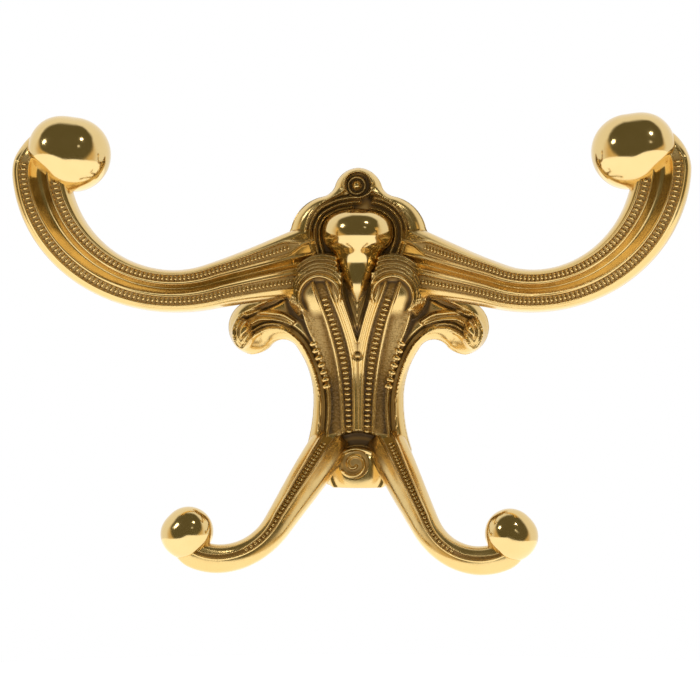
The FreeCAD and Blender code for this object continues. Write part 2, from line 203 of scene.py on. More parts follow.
def make_piece(
    name: str,
    points: np.ndarray,
    faces: list,
    patina_and_shade: np.ndarray | None = None,
    stipple: np.ndarray | None = None,
) -> bpy.types.Object:
    """Mesh object from points given as across, depth and height, with its faces turned outwards.

    Args:
        name: name of the piece.
        points: across, distance out of the wall and height, in millimetres.
        faces: corners of each face.
        patina_and_shade: how dark each point is, 0 to 1, from patina and painted shade in the recesses.
        stipple: how grained each point is, 0 to 1.

    Returns:
        The new object, at the origin.
    """
    mesh = bpy.data.meshes.new(name)
    places = np.stack([points[:, 0], -points[:, 1], points[:, 2]], axis=1) * MM
    mesh.from_pydata(places.tolist(), [], faces)
    # This attribute holds real patina together with painted shade in the recesses.
    for title, values in (("patina_and_shade", patina_and_shade), ("stipple", stipple)):
        layer = mesh.attributes.new(title, "FLOAT", "POINT")
        layer.data.foreach_set("value", np.zeros(len(points)) if values is None else values)
    work = bmesh.new()
    work.from_mesh(mesh)
    bmesh.ops.remove_doubles(work, verts=work.verts, dist=WELD_GAP)
    bmesh.ops.dissolve_degenerate(work, edges=work.edges, dist=SLIVER_GAP)
    bmesh.ops.recalc_face_normals(work, faces=work.faces)
    work.to_mesh(mesh)
    work.free()
    mesh.polygons.foreach_set("use_smooth", [face.center.y < -WALL_GAP for face in mesh.polygons])
    mesh.update()
    piece = bpy.data.objects.new(name, mesh)
    bpy.context.scene.collection.objects.link(piece)
    return piece


def ring_faces(rings: int, spokes: int) -> list:
    """Quads between neighbouring rings of points, stored ring by ring.

    Args:
        rings: number of rings.
        spokes: points in each ring.

    Returns:
        Corners of each quad.
    """
    ring, spoke = np.meshgrid(np.arange(rings - 1), np.arange(spokes), indexing="ij")
    turned = (spoke + 1) % spokes
    corners = ((ring, spoke), (ring, turned), (ring + 1, turned), (ring + 1, spoke))
    return np.stack([(row * spokes + column).ravel() for row, column in corners], axis=1).tolist()


def sealed_tube(rings: int, spokes: int) -> list:
    """Faces of a tube of rings, each end closed by a fan of triangles round one extra point.

    Args:
        rings: number of rings.
        spokes: points in each ring.

    Returns:
        Corners of each face; the two end points follow the rings.
    """
    faces = ring_faces(rings, spokes)
    first, last = rings * spokes, rings * spokes + 1
    for spoke in range(spokes):
        turned = (spoke + 1) % spokes
        faces.append([first, turned, spoke])
        faces.append([last, (rings - 1) * spokes + spoke, (rings - 1) * spokes + turned])
    return faces


@dataclass(frozen=True)
class NodeBench:
    """Bench on which the nodes of one shader tree are added and joined."""

    tree: bpy.types.NodeTree

    def feed(self, socket: Socket, value: Socket | float | tuple | Vector) -> None:
        """Join a socket to another one, or set its constant.

        Args:
            socket: the input that is fed.
            value: an output to join it to, or a constant.
        """
        if isinstance(value, Socket):
            self.tree.links.new(value, socket)
        else:
            socket.default_value = value

    def add(self, kind: str, **values: Socket | float) -> bpy.types.Node:
        """Add a node.

        Args:
            kind: type of the node.
            values: what its inputs are fed, by their names in lower case.

        Returns:
            The node.
        """
        node = self.tree.nodes.new(kind)
        for title, value in values.items():
            self.feed(node.inputs[title.capitalize()], value)
        return node

    def maths(self, operation: str, *values: Socket | float) -> Socket:
        """Result of a maths node.

        Args:
            operation: what the node does.
            values: its inputs in order.

        Returns:
            The node's output.
        """
        node = self.tree.nodes.new("ShaderNodeMath")
        node.operation = operation
        for socket, value in zip(node.inputs, values):
            self.feed(socket, value)
        return node.outputs["Value"]

    def remap(
        self, value: Socket, band: tuple[float, float], start: float, end: float, kind: str = "LINEAR"
    ) -> Socket:
        """Value carried from one range to another, clamped.

        Args:
            value: the value.
            band: range that it comes from.
            start: result at the low end of the band.
            end: result at the high end of the band.
            kind: interpolation between the two.

        Returns:
            The node's output.
        """
        node = self.tree.nodes.new("ShaderNodeMapRange")
        node.interpolation_type = kind
        for title, number in zip(("From Min", "From Max", "To Min", "To Max"), (*band, start, end)):
            self.feed(node.inputs[title], number)
        self.feed(node.inputs["Value"], value)
        return node.outputs["Result"]

    def blend(self, share: Socket, first: Socket | Colour, second: Colour) -> Socket:
        """Colour between two.

        Args:
            share: share of the second colour.
            first: first colour, or the output that gives it.
            second: second colour.

        Returns:
            The node's output.
        """
        node = self.tree.nodes.new("ShaderNodeMix")
        node.data_type = "RGBA"
        self.feed(node.inputs["Factor"], share)
        self.feed(node.inputs["A"], (*first, 1.0) if isinstance(first, tuple) else first)
        self.feed(node.inputs["B"], (*second, 1.0))
        return node.outputs["Result"]


@dataclass(frozen=True)
class Brass:
    """Polished brass with dark patina and painted shade in its recesses and a stippled ground."""

    name: str
    clean: Colour = (0.76, 0.55, 0.23)
    worn: Colour = (0.72, 0.46, 0.14)
    # Brown of the patina and of the painted shade in the recesses.
    patina_and_shade: Colour = (0.30, 0.155, 0.020)
    # Near-black painted shade at the floor of the deepest recesses.
    deep: Colour = (0.095, 0.048, 0.006)
    worn_band: tuple[float, float] = (0.42, 0.72)
    worn_share: float = 0.35
    worn_scale: float = 90.0
    patina_and_shade_band: tuple[float, float] = (0.05, 0.60)
    deep_band: tuple[float, float] = (0.50, 1.00)
    dull_band: tuple[float, float] = (0.05, 0.50)
    dull_metal: float = 0.30
    rough: float = 0.22
    smear_band: tuple[float, float] = (0.3, 0.75)
    smear_spread: tuple[float, float] = (0.75, 1.35)
    smear_scale: float = 260.0
    patina_rough: float = 0.42
    stipple_size: float = 0.6
    stipple_lift: float = 0.30
    ripple_lift: float = 0.10
    ripple_scale: float = 170.0

    def build(self) -> bpy.types.Material:
        """Make the material's nodes.

        Returns:
            The material.
        """
        material = bpy.data.materials.new(self.name)
        material.use_nodes = True
        bench = NodeBench(material.node_tree)
        shader = material.node_tree.nodes["Principled BSDF"]
        place = bench.add("ShaderNodeTexCoord").outputs["Object"]
        # dark is the patina and painted shade of the recesses, read from the mesh.
        dark = bench.remap(self.attribute(bench, "patina_and_shade"), (0.0, 1.0), 0.0, 1.0)
        self.tint(bench, shader, place, dark)
        self.gloss(bench, shader, place, dark)
        self.grain(bench, shader, place)
        return material

    def attribute(self, bench: NodeBench, title: str) -> Socket:
        """Value of an attribute of the mesh.

        Args:
            bench: the material's bench.
            title: name of the attribute.

        Returns:
            The node's output.
        """
        node = bench.add("ShaderNodeAttribute")
        node.attribute_name = title
        return node.outputs["Fac"]

    def noise(self, bench: NodeBench, place: Socket, scale: float, detail: float) -> Socket:
        """Noise over the piece, its scale per metre."""
        return bench.add("ShaderNodeTexNoise", vector=place, scale=scale, detail=detail).outputs["Fac"]

    def tint(self, bench: NodeBench, shader: bpy.types.Node, place: Socket, dark: Socket) -> None:
        """Colour: clean metal with worn patches, brown patina and painted shade in the recesses and
        near-black painted shade at their floor.

        Args:
            bench: the material's bench.
            shader: the shader's node.
            place: position on the piece.
            dark: how much patina and painted shade there is.
        """
        patches = self.noise(bench, place, self.worn_scale, 4.0)
        worn = bench.remap(patches, self.worn_band, 0.0, self.worn_share)
        colour = bench.blend(worn, self.clean, self.worn)
        # Brown patina and painted shade in the recesses, then near-black painted shade at their floor.
        colour = bench.blend(bench.remap(dark, self.patina_and_shade_band, 0.0, 1.0), colour, self.patina_and_shade)
        colour = bench.blend(bench.remap(dark, self.deep_band, 0.0, 1.0), colour, self.deep)
        bench.feed(shader.inputs["Base Color"], colour)
        bench.feed(shader.inputs["Metallic"], bench.remap(dark, self.dull_band, 1.0, self.dull_metal))

    def gloss(self, bench: NodeBench, shader: bpy.types.Node, place: Socket, dark: Socket) -> None:
        """Roughness: a faint smear on the polish, and duller where the patina and painted shade lie.

        Args:
            bench: the material's bench.
            shader: the shader's node.
            place: position on the piece.
            dark: how much patina and painted shade there is.
        """
        smooth, dull = (self.rough * spread for spread in self.smear_spread)
        smear = bench.remap(self.noise(bench, place, self.smear_scale, 5.0), self.smear_band, smooth, dull)
        mix = bench.add("ShaderNodeMix", factor=dark, a=smear, b=self.patina_rough)
        bench.feed(shader.inputs["Roughness"], mix.outputs["Result"])

    def grain(self, bench: NodeBench, shader: bpy.types.Node, place: Socket) -> None:
        """Bumps: the stipple of the grounds over the slight unevenness of hand polish.

        Args:
            bench: the material's bench.
            shader: the shader's node.
            place: position on the piece.
        """
        pits = bench.add("ShaderNodeTexVoronoi", vector=place, scale=1.0 / (self.stipple_size * MM))
        lift = bench.maths("MULTIPLY", pits.outputs["Distance"], self.attribute(bench, "stipple"))
        ripple = self.noise(bench, place, self.ripple_scale, 1.0)
        wave = bench.add("ShaderNodeBump", strength=1.0, distance=self.ripple_lift * MM, height=ripple)
        bump = bench.add("ShaderNodeBump", strength=1.0, distance=self.stipple_lift * MM, height=lift)
        bench.feed(bump.inputs["Normal"], wave.outputs["Normal"])
        bench.feed(shader.inputs["Normal"], bump.outputs["Normal"])


def dress(piece: bpy.types.Object, material: bpy.types.Material) -> bpy.types.Object:
    """Give a piece its material, hang it on the frame's root body and hide the CAD casting.

    Args:
        piece: the piece.
        material: its finish.

    Returns:
        The same piece.
    """
    piece.data.materials.clear()
    piece.data.materials.append(material)
    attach(piece, "root")
    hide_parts(NODE)
    log.info("%s: %d faces", piece.name, len(piece.data.polygons))
    return piece


@dataclass(frozen=True)
class BeadSize:
    """Distance between two beads, and a bead's size along its row, across it and outwards, in millimetres."""

    pitch: float
    run: float
    breadth: float
    rise: float


@dataclass
class BeadTree:
    """Geometry Nodes tree that sets small rounded beads or rungs along the edges of a mesh."""

    segments: int = 8
    rings: int = 6
    unit_radius: float = 0.5
    tree: bpy.types.NodeTree = field(init=False)
    sockets: dict[str, str] = field(init=False, default_factory=dict)

    def __post_init__(self) -> None:
        """Build the tree: resample the paths, stand a bead on each point, realise and dress them."""
        tree = bpy.data.node_groups.new("beads_along_paths", "GeometryNodeTree")
        face = tree.interface
        face.new_socket("Geometry", in_out="INPUT", socket_type="NodeSocketGeometry")
        for size in fields(BeadSize):
            entered = face.new_socket(size.name.capitalize(), in_out="INPUT", socket_type="NodeSocketFloat")
            self.sockets[size.name] = entered.identifier
        entered = face.new_socket("Finish", in_out="INPUT", socket_type="NodeSocketMaterial")
        self.sockets["finish"] = entered.identifier
        face.new_socket("Geometry", in_out="OUTPUT", socket_type="NodeSocketGeometry")
        nodes, links = tree.nodes, tree.links
        entry, result = nodes.new("NodeGroupInput"), nodes.new("NodeGroupOutput")
        to_curve = nodes.new("GeometryNodeMeshToCurve")
        spread = nodes.new("GeometryNodeResampleCurve")
        spread.mode = "LENGTH"
        tangent = nodes.new("GeometryNodeInputTangent")
        along = nodes.new("FunctionNodeAlignRotationToVector")
        along.axis = "X"
        outwards = nodes.new("FunctionNodeAlignRotationToVector")
        outwards.axis = "Z"
        outwards.pivot_axis = "X"
        outwards.inputs["Vector"].default_value = (0.0, -1.0, 0.0)
        shape = nodes.new("GeometryNodeMeshUVSphere")
        shape.inputs["Segments"].default_value = self.segments
        shape.inputs["Rings"].default_value = self.rings
        shape.inputs["Radius"].default_value = self.unit_radius
        scale = nodes.new("ShaderNodeCombineXYZ")
        place = nodes.new("GeometryNodeInstanceOnPoints")
        smooth = nodes.new("GeometryNodeSetShadeSmooth")
        realise = nodes.new("GeometryNodeRealizeInstances")
        dressed = nodes.new("GeometryNodeSetMaterial")
        links.new(entry.outputs["Geometry"], to_curve.inputs["Mesh"])
        links.new(to_curve.outputs["Curve"], spread.inputs["Curve"])
        links.new(entry.outputs["Pitch"], spread.inputs["Length"])
        links.new(tangent.outputs["Tangent"], along.inputs["Vector"])
        links.new(along.outputs["Rotation"], outwards.inputs["Rotation"])
        for title, axis in (("Run", "X"), ("Breadth", "Y"), ("Rise", "Z")):
            links.new(entry.outputs[title], scale.inputs[axis])
        links.new(spread.outputs["Curve"], place.inputs["Points"])
        links.new(shape.outputs["Mesh"], place.inputs["Instance"])
        links.new(outwards.outputs["Rotation"], place.inputs["Rotation"])
        links.new(scale.outputs["Vector"], place.inputs["Scale"])
        links.new(place.outputs["Instances"], realise.inputs["Geometry"])
        links.new(realise.outputs["Geometry"], smooth.inputs["Geometry"])
        links.new(smooth.outputs["Geometry"], dressed.inputs["Geometry"])
        links.new(entry.outputs["Finish"], dressed.inputs["Material"])
        links.new(dressed.outputs["Geometry"], result.inputs["Geometry"])
        self.tree = tree

    def beads(
        self, name: str, paths: list[np.ndarray], size: BeadSize, finish: bpy.types.Material
    ) -> bpy.types.Object:
        """Beads along paths as one plain mesh.

        Args:
            name: name of the piece.
            paths: points of each path as across, depth and height in millimetres.
            size: size and pitch of the beads.
            finish: the material.

        Returns:
            The finished piece.
        """
        mesh = bpy.data.meshes.new(f"{name}_paths")
        points, edges = [], []
        for path in paths:
            start = len(points)
            points += [(x * MM, -depth * MM, z * MM) for x, depth, z in path]
            edges += [(start + index, start + index + 1) for index in range(len(path) - 1)]
        mesh.from_pydata(points, edges, [])
        carrier = bpy.data.objects.new(f"{name}_paths", mesh)
        bpy.context.scene.collection.objects.link(carrier)
        modifier = carrier.modifiers.new("beads", "NODES")
        modifier.node_group = self.tree
        for title, number in asdict(size).items():
            modifier[self.sockets[title]] = number * MM
        modifier[self.sockets["finish"]] = finish
        ready = carrier.evaluated_get(bpy.context.evaluated_depsgraph_get())
        made = bpy.data.meshes.new_from_object(ready)
        carrier.modifiers.clear()
        bpy.data.objects.remove(carrier, do_unlink=True)
        made.name = name
        piece = bpy.data.objects.new(name, made)
        bpy.context.scene.collection.objects.link(piece)
        return dress(piece, finish)


@dataclass(frozen=True)
class Ridge:
    """Raised line of the carving: its points, its rise and its width."""

    points: Path
    rise: float
    width: float

    def over(self, x: np.ndarray, z: np.ndarray) -> np.ndarray:
        """Height that the line adds at each sample."""
        return self.rise * crest(path_field(x, z, smooth_path(self.points))[0], self.width)


@dataclass
class Cartouche:
    """Carved backplate: rounded flank, crown scroll, ruffled leaf tops, leaf panels, side lobes and tail."""

    step: float = 0.17
    snap: float = 0.4
    wall_rows: int = 4
    edge_depth: float = 3.4
    face_depth: float = 7.0
    ground_depth: float = 6.1
    hole_radius: float = 1.65
    hole_depth: float = 5.2
    hole_cone: float = 0.6
    hole_offset: float = 20.0
    hole_spokes: int = 32
    arc_step: float = 0.08
    outline_nodes: tuple[tuple[float, float, float], ...] = (
        (0.0, 38.2, 0.17),
        (5.6, 33.7, -0.12),
        (8.6, 31.3, 0.15),
        (16.2, 23.7, 0.0),
        (24.5, 6.6, 0.47),
        (25.7, -6.6, 0.08),
        (21.6, -4.9, -0.29),
        (14.6, -5.1, -0.07),
        (10.8, -16.3, -0.045),
        (12.7, -29.5, 0.18),
        (5.6, -38.4, 0.0),
    )
    inner_line: Path = (
        (0.0, 37.2), (2.1, 36.5), (3.2, 34.6), (3.3, 32.8), (5.4, 31.4), (8.2, 29.9), (10.6, 27.8),
        (12.0, 25.2), (12.5, 22.3), (12.2, 18.5), (13.5, 14.0), (18.5, 8.0), (24.0, 5.2), (28.0, 2.9),
        (29.7, -0.4), (29.4, -3.2), (27.7, -5.1), (25.4, -2.4), (22.9, -0.7), (20.2, -0.2), (17.6, -0.7),
        (14.9, -2.6), (12.8, -5.2), (10.7, -9.9), (9.4, -15.2), (9.1, -20.5), (9.6, -27.2), (10.0, -32.5),
        (7.8, -35.0), (4.6, -36.7), (0.0, -37.1),
    )
    boss_hollow: tuple[float, float] = (20.4, 13.2)
    crown_right: Path = (
        (3.9, 30.9), (6.4, 30.2), (8.7, 28.8), (10.6, 26.6), (11.5, 24.0), (11.5, 20.9), (10.7, 18.2),
        (9.6, 15.4),
    )
    crown_left: Path = (
        (-9.6, 14.8), (-10.7, 17.5), (-11.5, 20.9), (-11.3, 24.6), (-9.4, 28.0), (-5.6, 30.1), (-2.1, 30.9),
    )
    crown_curl: Path = (
        (1.0, 31.2), (2.9, 32.2), (3.6, 34.1), (2.8, 36.0), (0.6, 36.9), (-1.9, 36.2), (-2.9, 34.4),
    )
    moulding_sink: float = 1.4
    moulding_rise: float = 2.5
    moulding_width: float = 1.35
    eye: tuple[float, float] = (0.0, 34.1)
    eye_radius: float = 3.15
    eye_depth: float = 4.6
    pearl_shift: tuple[float, float] = (-0.35, -0.2)
    pearl_radius: float = 1.25
    pearl_rise: float = 1.9
    pearl_ring: float = 2.0
    leaf_edge: Path = (
        (13.7, 8.6), (13.3, 5.4), (12.6, 2.2), (11.8, -0.4), (10.4, -4.0), (8.6, -9.5), (7.3, -15.0),
        (7.1, -21.0), (8.0, -29.0),
    )
    leaf_rise: float = 7.0
    leaf_camber: float = 0.014
    leaf_foot: float = -26.6
    vee_foot: tuple[float, float] = (0.0, -3.4)
    vee_top: tuple[float, float] = (3.5, 8.0)
    vee_floor: float = 8.8
    vee_reeds: tuple[float, ...] = (0.55, 1.25, 1.95, 2.65)
    ladder_sink: float = 0.55
    ground_sink: float = 0.45
    ladder_lines: tuple[Ridge, Ridge] = (
        Ridge(((10.3, 10.4), (9.3, 7.5), (7.0, 0.5), (5.05, -8.3), (4.05, -16.3), (3.6, -25.6)), 0.6, 0.9),
        Ridge(((7.0, 10.6), (6.1, 8.0), (3.7, 1.4), (2.0, -5.0), (1.15, -12.0), (0.95, -25.6)), 0.6, 0.8),
    )
    leaf_ribs: tuple[Ridge, Ridge] = (
        Ridge(((5.7, 10.6), (4.9, 8.0), (2.75, 1.7), (1.15, -4.2), (0.5, -9.0), (0.36, -25.6)), 0.36, 0.75),
        Ridge(((4.5, 10.6), (3.8, 8.0), (1.9, 2.0), (0.3, -3.6)), 0.5, 0.8),
    )
    rim_rise: float = 0.75
    rim_width: float = 1.15
    stud: tuple[float, float] = (-6.9, 0.65)
    cap_centre: tuple[float, float] = (8.2, 8.9)
    cap_shift: tuple[float, float] = (0.12, -0.45)
    cap_inner: float = 4.6
    cap_outer: float = 8.6
    cap_folds: Path = ((0.05, 0.17), (0.21, 0.20), (0.40, 0.18), (0.55, 0.17), (0.70, 0.16), (0.93, 0.34))
    cap_depth: float = 15.0
    cap_roll: float = 6.0
    cap_lip: float = 1.0
    fold_sink: float = 1.35
    lobe_centre: tuple[float, float] = (27.6, -1.2)
    lobe_rise: float = 2.0
    tip_centre: tuple[float, float] = (27.6, -1.5)
    tip_size: tuple[float, float] = (2.5, 3.7)
    tip_rise: float = 2.1
    lobe_lines: tuple[Ridge, ...] = (
        Ridge(
            (
                (25.4, 3.2), (28.2, 2.4), (30.0, -0.6), (29.6, -3.9), (28.2, -5.4), (26.4, -4.6),
                (24.8, -2.4), (22.9, -1.1),
            ),
            0.35,
            1.1,
        ),
        Ridge(((26.6, 3.0), (24.6, 3.6), (21.4, 3.4), (18.0, 2.9), (15.4, 1.4)), 0.9, 1.7),
        Ridge(((25.6, 0.9), (23.4, 1.9), (19.9, 1.7), (16.4, 0.6)), 0.8, 1.3),
        Ridge(((25.0, -0.8), (22.9, 0.5), (19.6, 0.7), (16.6, -0.6)), 0.6, 1.0),
    )
    arch_middle: float = -31.9
    arch_size: tuple[float, float] = (8.3, 6.9)
    arch_depth: float = 3.9
    tab_middle: float = -35.2
    tab_size: tuple[float, float] = (7.5, 6.8)
    tab_depth: float = 4.4
    tab_rise: float = 4.2
    tab_rim: tuple[float, float, float] = (0.90, 1.1, 1.7)
    volute: tuple[float, float] = (-0.8, -32.7)
    volute_radii: tuple[float, float] = (3.2, 0.7)
    volute_turn: float = 2.6 * math.pi
    volute_start: float = -2.6
    # Reach and depth scale of the patina and painted shade in the recesses.
    patina_and_shade_reach: int = 5
    patina_and_shade_sink: float = 0.55
    outline: np.ndarray = field(init=False, repr=False)
    inner: np.ndarray = field(init=False, repr=False)

    def __post_init__(self) -> None:
        """Work out the outline and the inner line."""
        half = self.half_outline()
        self.outline = np.array(half + [(-x, z) for x, z in reversed(half[1:])])
        line = smooth_path(self.inner_line, 0.6)
        self.inner = np.vstack([line, (line * (-1, 1))[::-1][1:-1]])

    def half_outline(self) -> list[tuple[float, float]]:
        """Points of the right half of the outline, an arc or a straight line between each two nodes.

        Returns:
            Points from the crown down to the tail.
        """
        points = []
        for (x1, z1, bulge), (x2, z2, _) in zip(self.outline_nodes, self.outline_nodes[1:]):
            half_turn = 2 * math.atan(2 * bulge)
            steps = max(4, math.ceil(abs(half_turn) * 2 / self.arc_step))
            for index in range(steps):
                share = index / steps
                along, rise = share, 0.0
                if bulge:
                    angle = half_turn * (1 - 2 * share)
                    along = 0.5 - math.sin(angle) / math.sin(half_turn) / 2
                    rise = (math.cos(angle) - math.cos(half_turn)) / math.sin(half_turn) / 2
                x = x1 + (x2 - x1) * along + rise * (z1 - z2)
                z = z1 + (z2 - z1) * along + rise * (x2 - x1)
                points.append((x, z))
        return points + [self.outline_nodes[-1][:2]]

    def base(self, x: np.ndarray, z: np.ndarray) -> np.ndarray:
        """Rounded flank between the outline and the inner line, and the sunk ground inside.

        Args:
            x: sample positions across.
            z: sample positions upwards.

        Returns:
            The depth.
        """
        edge = path_field(x, z, self.outline, True)[0]
        line = path_field(x, z, self.inner, True)[0]
        within = inside(x, z, self.inner)
        share = edge / (edge + line + 1e-6)
        flank = self.edge_depth + (self.face_depth - self.edge_depth) * np.sqrt(1 - (1 - share) ** 2)
        signed = np.where(within, line, -line)
        depth = np.where(within, self.ground_depth, flank)
        border = 0.4 * crest(np.abs(signed - 0.1), 0.8)
        channel = 0.35 * ease(0.3, 0.7, signed) * ease(2.2, 1.4, signed)
        scribed = 0.6 * crest(np.abs(signed - 1.45), 0.7)
        return depth + border - channel - scribed

    def crown(self, x: np.ndarray, z: np.ndarray, depth: np.ndarray) -> np.ndarray:
        """Spiral mouldings round the boss, and the eye with its pearl that they curl round.

        Args:
            x: sample positions across.
            z: sample positions upwards.
            depth: depth so far.

        Returns:
            The new depth.
        """
        middle, radius = self.boss_hollow
        hollow = ease(radius, radius - 1.0, np.hypot(x * 1.02, (z - middle) * 1.12)) * ease(12.0, 15.0, z)
        depth = depth - hollow
        spiral = (*self.crown_left, *self.crown_curl)
        for path, inset, kept in (
            (spiral, 0.0, 1.0),
            (spiral, -1.15, 0.66),
            (self.crown_left, -2.3, 1.0),
            (self.crown_right, 0.0, 1.0),
            (self.crown_right, -1.05, 1.0),
            (self.crown_right, -2.6, 1.0),
        ):
            line = offset_path(smooth_path(path), inset)
            gap = path_field(x, z, line[: int(len(line) * kept)])[0]
            rise = (self.moulding_rise + inset * 0.2) * crest(gap, self.moulding_width)
            depth = np.maximum(depth, self.ground_depth - self.moulding_sink + rise)
        gap = np.hypot(x - self.eye[0], z - self.eye[1])
        bowl = ease(self.eye_radius, self.eye_radius - 0.5, gap)
        depth = depth * (1 - bowl) + np.minimum(depth, self.eye_depth) * bowl
        pearl = np.hypot(x - self.pearl_shift[0], z - self.eye[1] - self.pearl_shift[1])
        ring = crest(np.abs(pearl - self.pearl_ring), 0.6) * (gap < self.eye_radius - 0.2)
        depth = np.maximum(depth, self.eye_depth + 1.1 * ring)
        return np.maximum(depth, self.eye_depth + self.pearl_rise * dome(pearl / self.pearl_radius))

    def panels(self, x: np.ndarray, z: np.ndarray, depth: np.ndarray) -> tuple[np.ndarray, np.ndarray]:
        """Two leaf panels that lean out at the top, with ladder grooves, ribs, a rim and a reeded V between.

        Args:
            x: distance from the middle.
            z: sample positions upwards.
            depth: depth so far.

        Returns:
            The new depth, and the stipple of the panels.
        """
        outer_line = smooth_path(self.leaf_edge)
        outer_x = np.interp(z, outer_line[::-1, 1], outer_line[::-1, 0])
        (foot_x, foot_z), (top_x, top_z) = self.vee_foot, self.vee_top
        inner_x = np.interp(z, [foot_z, top_z], [foot_x, top_x])
        lean = self.leaf_rise * ease(-17.0, 9.0, z) ** 1.5
        leaf = self.ground_depth - 0.1 + lean - self.leaf_camber * (x - (outer_x + inner_x) / 2) ** 2
        sides = ease(0.0, 0.45, outer_x + 0.3 - x) * ease(0.0, 0.45, x - inner_x + 0.3)
        span = sides * ease(self.leaf_foot, self.leaf_foot + 1.2, z) * (z < 13)
        between = ease(0.35, -0.1, x - inner_x) * ease(-4.2, -3.2, z) * ease(12.5, 10.5, z)
        reeds = np.maximum.reduce([crest(np.abs(inner_x - x - place), 0.75) for place in self.vee_reeds])
        depth = depth * (1 - between) + (np.minimum(leaf - 1.2, self.vee_floor) + 0.45 * reeds) * between
        depth = depth * (1 - span) + leaf * span
        curves = [smooth_path(line.points) for line in self.ladder_lines]
        ladder_out, ladder_in = (np.interp(z, curve[::-1, 1], curve[::-1, 0]) for curve in curves)
        foot = ease(self.leaf_foot + 0.4, self.leaf_foot + 1.2, z)
        ladder = ease(0.15, 0.5, x - ladder_in) * ease(0.15, 0.5, ladder_out - x) * (z < 11) * foot
        ground = ease(0.1, 0.5, x - ladder_out) * ease(0.2, 0.7, outer_x - x) * ease(5.0, 2.0, z) * foot
        depth = depth - self.ladder_sink * ladder - self.ground_sink * ground
        for ridge in (*self.ladder_lines, *self.leaf_ribs):
            depth = depth + ridge.over(x, z)
        rim = self.rim_rise * crest(path_field(x, z, outer_line)[0], self.rim_width)
        depth = depth + rim * ((z < 9) * ease(-3.0, -2.0, z) * span + ease(-13.0, -14.0, z))
        stud_z, stud_radius = self.stud
        gap = np.hypot(x, z - stud_z)
        depth = depth - 0.6 * ease(2 * stud_radius, 0.7, gap) + 0.9 * dome(gap / stud_radius)
        return depth, np.maximum(ladder, ground) * span

    def caps(self, x: np.ndarray, z: np.ndarray, depth: np.ndarray) -> np.ndarray:
        """Ruffled tops of the leaves: nested arches, crowded at the outer foot, rolling over onto the panel.

        Args:
            x: distance from the middle.
            z: sample positions upwards.
            depth: depth so far.

        Returns:
            The new depth.
        """
        shift_x, shift_z = self.cap_shift
        slack = 1 - math.hypot(*self.cap_shift) ** 2
        dx, dz = x - self.cap_centre[0], z - self.cap_centre[1]
        lead = self.cap_outer - dx * shift_x - dz * shift_z
        root = np.maximum(lead**2 - slack * (self.cap_outer**2 - dx**2 - dz**2), 0)
        inset = (lead - np.sqrt(root)) / slack
        share = inset / (self.cap_outer - self.cap_inner)
        angle = np.degrees(np.arctan2(dz - shift_z * inset, dx - shift_x * inset))
        angle = np.where(angle < -120, angle + 360, angle)
        inner_side = ease(0.0, 1.3, x - 2.9 - 0.14 * (z - 10.0))
        sweep = ease(-58.0, -36.0, angle) * inner_side * ease(205.0, 172.0, angle)
        roll = self.cap_depth - self.cap_roll * np.clip(1 - share, 0, 1) ** 1.5
        roll = roll - self.cap_lip * ease(0.96, 1.06, share)
        fold = np.maximum.reduce([crest(np.abs(share - place), width) for place, width in self.cap_folds])
        ridged = roll - self.fold_sink * (1 - fold) * ease(-40.0, 0.0, angle)
        body = ease(-0.10, 0.02, share) * ease(1.10, 1.02, share) * sweep
        return depth * (1 - body) + np.maximum(ridged, depth) * body

    def lobes(self, x: np.ndarray, z: np.ndarray, depth: np.ndarray) -> np.ndarray:
        """Side lobe with its curled leaf tip, fan ridges and rim.

        Args:
            x: distance from the middle.
            z: sample positions upwards.
            depth: depth so far.

        Returns:
            The new depth.
        """
        gap = np.hypot(x - self.lobe_centre[0], (z - self.lobe_centre[1]) / 1.25)
        depth = depth + self.lobe_rise * ease(5.2, 0.8, gap) * ease(31.2, 28.5, x)
        across = (x - self.tip_centre[0]) / self.tip_size[0]
        upwards = (z - self.tip_centre[1]) / self.tip_size[1]
        depth = depth + self.tip_rise * dome(np.hypot(across, upwards))
        for ridge in self.lobe_lines:
            depth = depth + ridge.over(x, z)
        return depth

    def tail(self, x: np.ndarray, z: np.ndarray, depth: np.ndarray) -> np.ndarray:
        """Dark arch under the panels, the tab and its small volute.

        Args:
            x: sample positions across, signed.
            z: sample positions upwards.
            depth: depth so far.

        Returns:
            The new depth.
        """
        arch = ease(1.04, 0.93, np.hypot(x / self.arch_size[0], (z - self.arch_middle) / self.arch_size[1]))
        depth = depth * (1 - arch) + self.arch_depth * arch
        tab = np.hypot(x / self.tab_size[0], (z - self.tab_middle) / self.tab_size[1])
        rim_at, rim_rise, rim_width = self.tab_rim
        rim = rim_rise * crest(np.abs(tab - rim_at) * self.tab_size[1], rim_width)
        hood = self.tab_depth + self.tab_rise * np.sqrt(np.clip(1 - tab**3, 0, 1)) + rim
        depth = np.maximum(depth, np.where(tab < 1, hood, 0.0))
        outer, inner = self.volute_radii
        share = np.linspace(0, 1, 60)
        angle = share * self.volute_turn + self.volute_start
        radius = outer + (inner - outer) * share
        spiral = self.volute + radius[:, None] * np.stack([np.cos(angle), np.sin(angle)], axis=1)
        gap = path_field(x, z, spiral)[0]
        disc = ease(outer + 0.5, outer, np.hypot(x - self.volute[0], z - self.volute[1]))
        return depth + disc * (1.05 * crest(gap, 1.1) - 0.5)

    def heights(self, x: np.ndarray, z: np.ndarray) -> tuple[np.ndarray, np.ndarray]:
        """Depth and stipple over the whole plate.

        Args:
            x: sample positions across.
            z: sample positions upwards.

        Returns:
            Two grids.
        """
        half = np.abs(x)
        depth = self.crown(x, z, self.base(x, z))
        depth = self.lobes(half, z, depth)
        depth, panel = self.panels(half, z, depth)
        depth = self.caps(half, z, depth)
        depth = self.tail(x, z, depth)
        return depth, panel * ease(10.5, 9.0, z)

